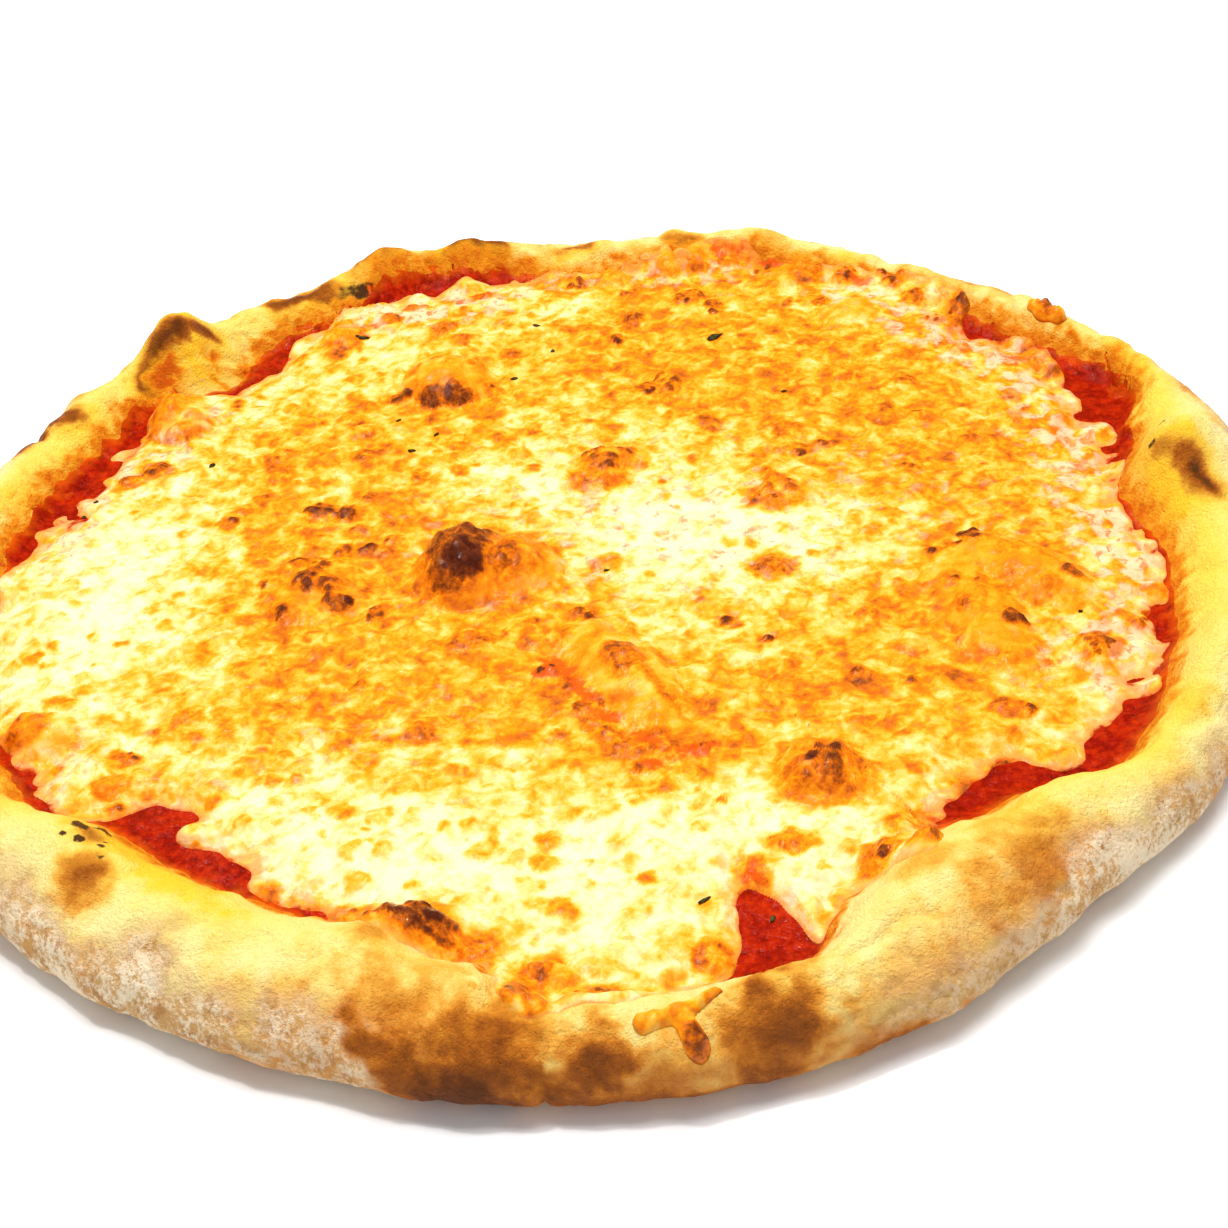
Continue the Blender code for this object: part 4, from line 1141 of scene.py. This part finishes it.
def herb_mesh(name, herbs, sides=12):
    """For each fleck a rim of points, a point above and a point below its middle."""
    herbs = np.array(herbs)
    angle = np.arange(sides) * 2 * np.pi / sides
    random = np.random.default_rng(201)
    reach = 1 + 0.22 * random.uniform(-1, 1, (len(herbs), sides))
    middle_x, middle_y, length, width, turn = herbs.T[..., None]
    along, across = length * reach * np.cos(angle), width * reach * np.sin(angle)
    rims = np.stack(moved(middle_x, middle_y, along, across, turn), -1)
    flat = np.concatenate([rims, np.repeat(herbs[:, None, :2], 2, axis=1)], axis=1)
    rise = np.append(0.12 + 0.2 * random.uniform(0, 1, sides), (0.3, -0.1))
    z = np.stack([top_under(fleck) for fleck in flat]) + rise
    first = np.arange(len(herbs))[:, None] * (sides + 2)
    here = first + np.arange(sides)
    following = first + (np.arange(sides) + 1) % sides
    top, bottom = first + sides + 0 * here, first + sides + 1 + 0 * here
    faces = np.concatenate([triangles(top, here, following), triangles(bottom, following, here)])
    return add_piece(name, np.dstack([flat, z]).reshape(-1, 3), faces, {})


herbs = herb_mesh("herb_flecks", HERBS)

# %% [markdown]
# ## Shader maths as expressions
#
# A material is a graph of nodes, and a formula of five operations is five nodes and their links.
# Written out, that hides the formula.  The class below wraps one output of a node and overloads
# the arithmetic operators, so `1 - mask * 0.5` adds the nodes by itself.


# %% Values and materials
class Value:
    """One output of a node.  Arithmetic with numbers or other values adds a Math node."""

    def __init__(self, look, output):
        self.look, self.output = look, output

    def maths(self, operation, *terms):
        return self.look.node("ShaderNodeMath", {"operation": operation}, dict(enumerate(terms)))

    def __add__(self, other):
        return self.maths("ADD", self, other)

    def __sub__(self, other):
        return self.maths("SUBTRACT", self, other)

    def __rsub__(self, other):
        return self.maths("SUBTRACT", other, self)

    def __mul__(self, other):
        return self.maths("MULTIPLY", self, other)

    __radd__, __rmul__ = __add__, __mul__

    def size(self):
        """The value without its sign."""
        return self.maths("ABSOLUTE", self)

    def step(self, low, high):
        """0 below low, 1 above high, smooth between."""
        settings = {"interpolation_type": "SMOOTHSTEP"}
        sockets = {0: self, 1: low, 2: high, 3: 0, 4: 1}
        return self.look.node("ShaderNodeMapRange", settings, sockets)

    def ramp(self, *stops):
        """A colour for each value, from stops of (value, colour)."""
        return self.look.node("ShaderNodeValToRGB", {"stops": stops}, {0: self})


class Look:
    """A material with its Principled shader; numbers given by name are set on the shader itself."""

    def __init__(self, name, **uniform):
        self.material = bpy.data.materials.new(name)
        self.material.use_nodes = True
        self.tree = self.material.node_tree
        self.shader = self.tree.nodes["Principled BSDF"]
        for socket, value in uniform.items():
            self.shader.inputs[socket.replace("_", " ")].default_value = value
        self.place = self.node("ShaderNodeTexCoord", output="Object")

    def node(self, kind, settings=None, sockets=None, output=0):
        """Adds a node: its settings first, then a value or a link for each socket."""
        made = self.tree.nodes.new(kind)
        for setting, value in (settings or {}).items():
            if setting == "stops":
                self.set_stops(made.color_ramp.elements, value)
            else:
                setattr(made, setting, value)
        for socket, value in (sockets or {}).items():
            self.feed(made.inputs[socket], value)
        return Value(self, made.outputs[output])

    def set_stops(self, elements, stops):
        while len(elements) < len(stops):
            elements.new(1)
        for element, (position, colour) in zip(elements, stops):
            element.position = position
            element.color = (*colour, 1)

    def feed(self, socket, value):
        if isinstance(value, Value):
            self.tree.links.new(value.output, socket)
        elif isinstance(value, tuple) and len(value) == 3 and socket.type == "RGBA":
            socket.default_value = (*value, 1)
        else:
            socket.default_value = value

    def painted(self, name):
        return self.node("ShaderNodeAttribute", {"attribute_name": name}, output="Fac")

    def noise(self, size, detail=2.0, roughness=0.5, distortion=0.0):
        """Noise from 0 to 1 with lumps of a size in millimetres."""
        sockets = {
            "Vector": self.place, "Scale": 1000 / size, "Detail": detail,
            "Roughness": roughness, "Distortion": distortion,
        }
        return self.node("ShaderNodeTexNoise", None, sockets)

    def mix(self, factor, first, second):
        """The first colour where the factor is 0 and the second where it is 1."""
        settings = {"data_type": "RGBA", "clamp_factor": True}
        return self.node("ShaderNodeMix", settings, {0: factor, 6: first, 7: second}, output=2)

    def coats(self, colour, *coats):
        """Lays coats of (mask, colour) over a colour, one after another."""
        for mask, coat in coats:
            colour = self.mix(mask, colour, coat)
        return colour

    def wear(self, pieces, colour, roughness, height, depth):
        """Links the shader's sockets, with a bump of the given depth in millimetres, and gives
        the material to the pieces."""
        sockets = {"Height": height, "Distance": depth * MM, "Strength": 1.0}
        bump = self.node("ShaderNodeBump", None, sockets)
        for socket, value in (("Base Color", colour), ("Roughness", roughness), ("Normal", bump)):
            self.feed(self.shader.inputs[socket], value)
        for piece in pieces:
            piece.data.materials.append(self.material)
        print(self.material.name, len(self.tree.nodes), "nodes")


# %% [markdown]
# ## Finishes
#
# The cheese's colour runs along one line as it bakes: cream, yellow, orange, red-brown, almost
# black.  So one ramp holds the colours, and the painted browning chooses the place on it.  Noise
# of a few millimetres is added first, because real cheese is a mesh of fat and strands that
# brown at different speeds.  The sauce then shows through the sheet in coats: pink under thin
# cheese, orange near the edge, and bare or boiled up in spots.

# %% How far the cheese is baked
melted = Look(
    "melted_cheese_finish", Subsurface_Weight=0.08, Subsurface_Scale=0.002, Specular_IOR_Level=0.25,
)
baked_more, blistered = melted.painted("toast"), melted.painted("blister")
blobs = melted.noise(6.5, 3, 0.55, 0.4)
shreds = melted.noise(4.0, 3, 0.5, 0.9)
strands = (shreds - 0.5).size().step(0.03, 0.0)
fleck = melted.noise(1.3, 2, 0.6, 0.5)
lively = (1 - blistered * 0.55) * (1 - baked_more.step(0.48, 0.66) * 0.85)
unevenness = (blobs - 0.5) * 0.75 + (shreds - 0.5) * 0.6 + (fleck - 0.5) * 0.18 - strands * 0.03
crisp = (melted.noise(2.2, 4, 0.7, 0.4) - 0.5) * baked_more.step(0.42, 0.6)
toasting = baked_more + unevenness * lively + crisp * 0.9
melt_colour = toasting.ramp(
    (0.0, (0.93, 0.76, 0.47)), (0.12, (0.93, 0.72, 0.36)), (0.22, (0.93, 0.62, 0.20)),
    (0.30, (0.92, 0.52, 0.09)), (0.38, (0.91, 0.41, 0.022)), (0.46, (0.88, 0.29, 0.003)),
    (0.55, (0.77, 0.185, 0.003)), (0.64, (0.55, 0.115, 0.005)), (0.74, (0.27, 0.060, 0.007)),
    (0.85, (0.14, 0.028, 0.008)), (1.0, (0.07, 0.014, 0.007)),
)
print("toasting takes", len(melted.tree.nodes), "nodes")

# %% Sauce that shows through the cheese
veil = melted.noise(5.0, 4, 0.6, 0.8)
veiled = veil - 0.5
off_dough, pinkish = 1 - melted.painted("on_dough"), melted.painted("pink")
pale = (1 - baked_more.step(0.42, 0.58)) * (1 - blistered * 0.8)
through = pinkish * 0.9 + veiled * 1.4
ruddy = melted.noise(2.6, 3, 0.6, 0.6).step(0.51, 0.64) * pale
bare = melted.painted("thin") * 0.75 + pinkish * 0.15 + veiled * 1.3
pulp = melted.mix(blobs.step(0.4, 0.6), (0.36, 0.018, 0.002), (0.62, 0.07, 0.003))
oily_dough = (0.88, 0.32, 0.012)
boiled = melted.painted("boiled")
boiled_up = (boiled + veiled * 1.1 + (fleck - 0.5) * 0.7).step(0.2, 0.75)
boiled_up = boiled_up * boiled.step(0.08, 0.35) * (1 - toasting.step(0.66, 0.8))
cheese_colour = melted.coats(
    melt_colour,
    (through.step(0.2, 0.65) * pale * off_dough * 0.8, (0.94, 0.60, 0.38)),
    (ruddy * (0.2 + through.step(0.1, 0.8) * 0.75), (0.70, 0.20, 0.045)),
    (bare.step(0.2, 0.6) * pale * 0.8, (0.88, 0.29, 0.055)),
    (bare.step(0.62, 0.90), melted.mix(off_dough, oily_dough, pulp)),
    (boiled_up * 0.9, (0.72, 0.085, 0.004)),
)
cheese_rough = 0.20 + melted.noise(4, 2) * 0.16 - baked_more.step(0.45, 0.7) * 0.16
melted.wear(
    [*cheese_halves, front_scrap, back_scrap], cheese_colour, cheese_rough,
    blobs + shreds * 0.5 + fleck * 0.3 + crisp * 0.8, 0.45,
)

# %% Sauce and herbs
tomato = Look("tomato_sauce_finish", Specular_IOR_Level=0.22)
grains = tomato.noise(1.6, 3, 0.6)
sauce_colour = (grains * 0.7 + tomato.noise(6, 2) * 0.5).ramp(
    (0.35, (0.12, 0.003, 0.001)), (0.56, (0.29, 0.007, 0.001)), (0.8, (0.52, 0.024, 0.001)),
)
sauce_colour = tomato.mix(tomato.painted("thin") * 0.7, sauce_colour, (0.74, 0.12, 0.002))
tomato.wear([sauce], sauce_colour, 0.08 + grains * 0.2, grains, 0.6)

dried = Look("dried_herb_finish", Specular_IOR_Level=0.3)
leaf_colour = dried.noise(1.2, 2).ramp((0.35, (0.020, 0.018, 0.006)), (0.65, (0.09, 0.085, 0.02)))
dried.wear([herbs], leaf_colour, 0.55 + dried.noise(2, 1) * 0.1, dried.noise(0.6, 2), 0.1)

# %% [markdown]
# The crust has no single line of colours.  It starts as pale dough and turns golden and brown with
# heat.  Over that lie the tan and floury wall, oil, stains of sauce, the spots of the underside
# and char, each as a coat with its own mask, in that order.

# %% Crust
baked = Look(
    "baked_crust_finish", Subsurface_Weight=0.05, Subsurface_Scale=0.002, Specular_IOR_Level=0.15,
)
browned, oily = baked.painted("brown"), baked.painted("oil")
clouds = baked.noise(13, 3, 0.55, 0.3) - 0.5
grain = baked.noise(0.8, 3, 0.75)
scales = baked.noise(2.6, 4, 0.65, 0.1)
browning = browned + clouds * 0.2 + (scales - 0.5) * 0.26 + (grain - 0.5) * 0.2
dough_colour = browning.ramp(
    (0.0, (0.95, 0.80, 0.33)), (0.14, (0.95, 0.66, 0.18)), (0.30, (0.84, 0.38, 0.05)),
    (0.45, (0.60, 0.19, 0.014)), (0.60, (0.36, 0.095, 0.007)), (0.78, (0.16, 0.04, 0.005)),
    (1.0, (0.06, 0.02, 0.006)),
)
wall = baked.painted("flour")
floury = (scales * 1.1 + grain + clouds * 0.8).step(0.86, 1.2) * wall.step(0.1, 1.0)
bare_wall = (1 - browned.step(0.25, 0.55)) * wall.step(0.05, 0.7)
rusty = baked.noise(5, 4, 0.65, 0.4).step(0.48, 0.64)
not_brown = 1 - browned.step(0.25, 0.6)
fried = baked.painted("amber") * (0.5 + scales) * not_brown
stained = baked.painted("stain") * (0.25 + scales)
spots = baked.noise(9, 2, 0.5).step(0.55, 0.66) * baked.painted("under")
charred = (baked.painted("char") + (scales - 0.5) * 0.8).step(0.5, 0.9)
crust_colour = baked.coats(
    dough_colour,
    (bare_wall * 0.85, (0.60, 0.30, 0.105)),  # the tan wall, its rusty clouds, its flour
    (bare_wall * rusty * 0.7, (0.42, 0.165, 0.045)),
    (bare_wall * floury * 0.95, (0.97, 0.82, 0.58)),
    (oily * not_brown * 0.85, (0.96, 0.68, 0.05)),  # oil, then dough fried in it
    (fried.step(0.1, 0.9), (1.0, 0.60, 0.03)),
    (stained.step(0.05, 0.75), (0.90, 0.36, 0.01)),  # orange oil of the sauce, then sauce itself
    (stained.step(0.45, 1.0), (0.66, 0.12, 0.003)),
    (spots * 0.8, (0.22, 0.09, 0.03)),  # spots of the underside, and char
    (charred, (0.085, 0.034, 0.010)),
)
crust_rough = 0.5 + wall * 0.35 - oily * 0.15
baked.wear([crust], crust_colour, crust_rough, scales * 0.7 + grain, 0.9)

# %% [markdown]
# ## What stands for what
#
# Each fine piece takes the place of one node of the imported model, whose plain solid is hidden,
# and rides on its one body.  The herbs stand for no node: they only ride.

# %% Replace the plain solids
for piece, node, slot in (
    (crust, "crust", "crust"), (sauce, "sauce", "sauce"),
    (cheese_halves[0], "cheese", "cheese"), (cheese_halves[1], "cheese", "cheese"),
    (front_scrap, "cheese_on_front_rim", "toasted_cheese"),
    (back_scrap, "cheese_on_back_rim", "toasted_cheese"),
):
    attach(piece, "root")
    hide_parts(node)
    print(piece.name, "replaces", node, "and is a finish of", slot)
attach(herbs, "root")

# %% [markdown]
# ## Floor, light and camera
#
# The floor is plain and pale, the light soft from above, as in a product shot.  The camera stands
# at the near side and looks down at 38.5 degrees, turned a little about its own axis.

# %% Floor
floor_mesh = bpy.data.meshes.new("floor")
corners = [(-3, -3, 0), (3, -3, 0), (3, 3, 0), (-3, 3, 0)]
floor_mesh.from_pydata(corners, [], [(0, 1, 2, 3)])
floor = bpy.data.objects.new("floor", floor_mesh)
bpy.context.scene.collection.objects.link(floor)
paper = Look("floor_finish", Roughness=0.9, Specular_IOR_Level=0.1)
paper.feed(paper.shader.inputs["Base Color"], (0.96, 0.96, 0.96))
floor_mesh.materials.append(paper.material)
print("floor", floor.dimensions.x, "by", floor.dimensions.y, "m")

# %% Light
world = bpy.data.worlds.new("studio")
bpy.context.scene.world = world
world.use_nodes = True
sky = world.node_tree.nodes["Background"].inputs
sky["Color"].default_value, sky["Strength"].default_value = (1, 1, 1, 1), 0.52
world.cycles_visibility.glossy = False


def softbox(name, place, size, power, shines):
    """A square light that faces the pizza's middle; one that doesn't shine leaves no highlights."""
    lamp = bpy.data.lights.new(name, "AREA")
    lamp.size, lamp.energy = size, power
    made = bpy.data.objects.new(name, lamp)
    made.location = place
    made.rotation_euler = (-Vector(place)).to_track_quat("-Z", "Y").to_euler()
    made.visible_glossy = shines
    bpy.context.scene.collection.objects.link(made)
    print(name, power, "W")


softbox("softbox_above", (0.05, 0.25, 1.15), 0.7, 15.0, False)
softbox("lamp_for_glints", (-0.25, 0.1, 1.0), 0.06, 3.0, True)
bpy.context.scene.view_settings.view_transform = "Standard"

# %% Camera
LOOKS_DOWN, LEANS = 38.5, -5.45  # degrees
CAMERA_AT = (0.0058, -0.3698, 0.2791)
camera_data = bpy.data.cameras.new("camera")
camera_data.lens, camera_data.sensor_width = 54.2, 36
camera = bpy.data.objects.new("camera", camera_data)
tilt = Euler((np.radians(90 - LOOKS_DOWN), 0, 0)).to_matrix().to_4x4()
lean = Matrix.Rotation(np.radians(LEANS), 4, "Z")
camera.matrix_world = Matrix.Translation(CAMERA_AT) @ tilt @ lean
bpy.context.scene.collection.objects.link(camera)
bpy.context.scene.camera = camera
print("camera at", CAMERA_AT, "m, with a lens of", camera_data.lens, "mm")
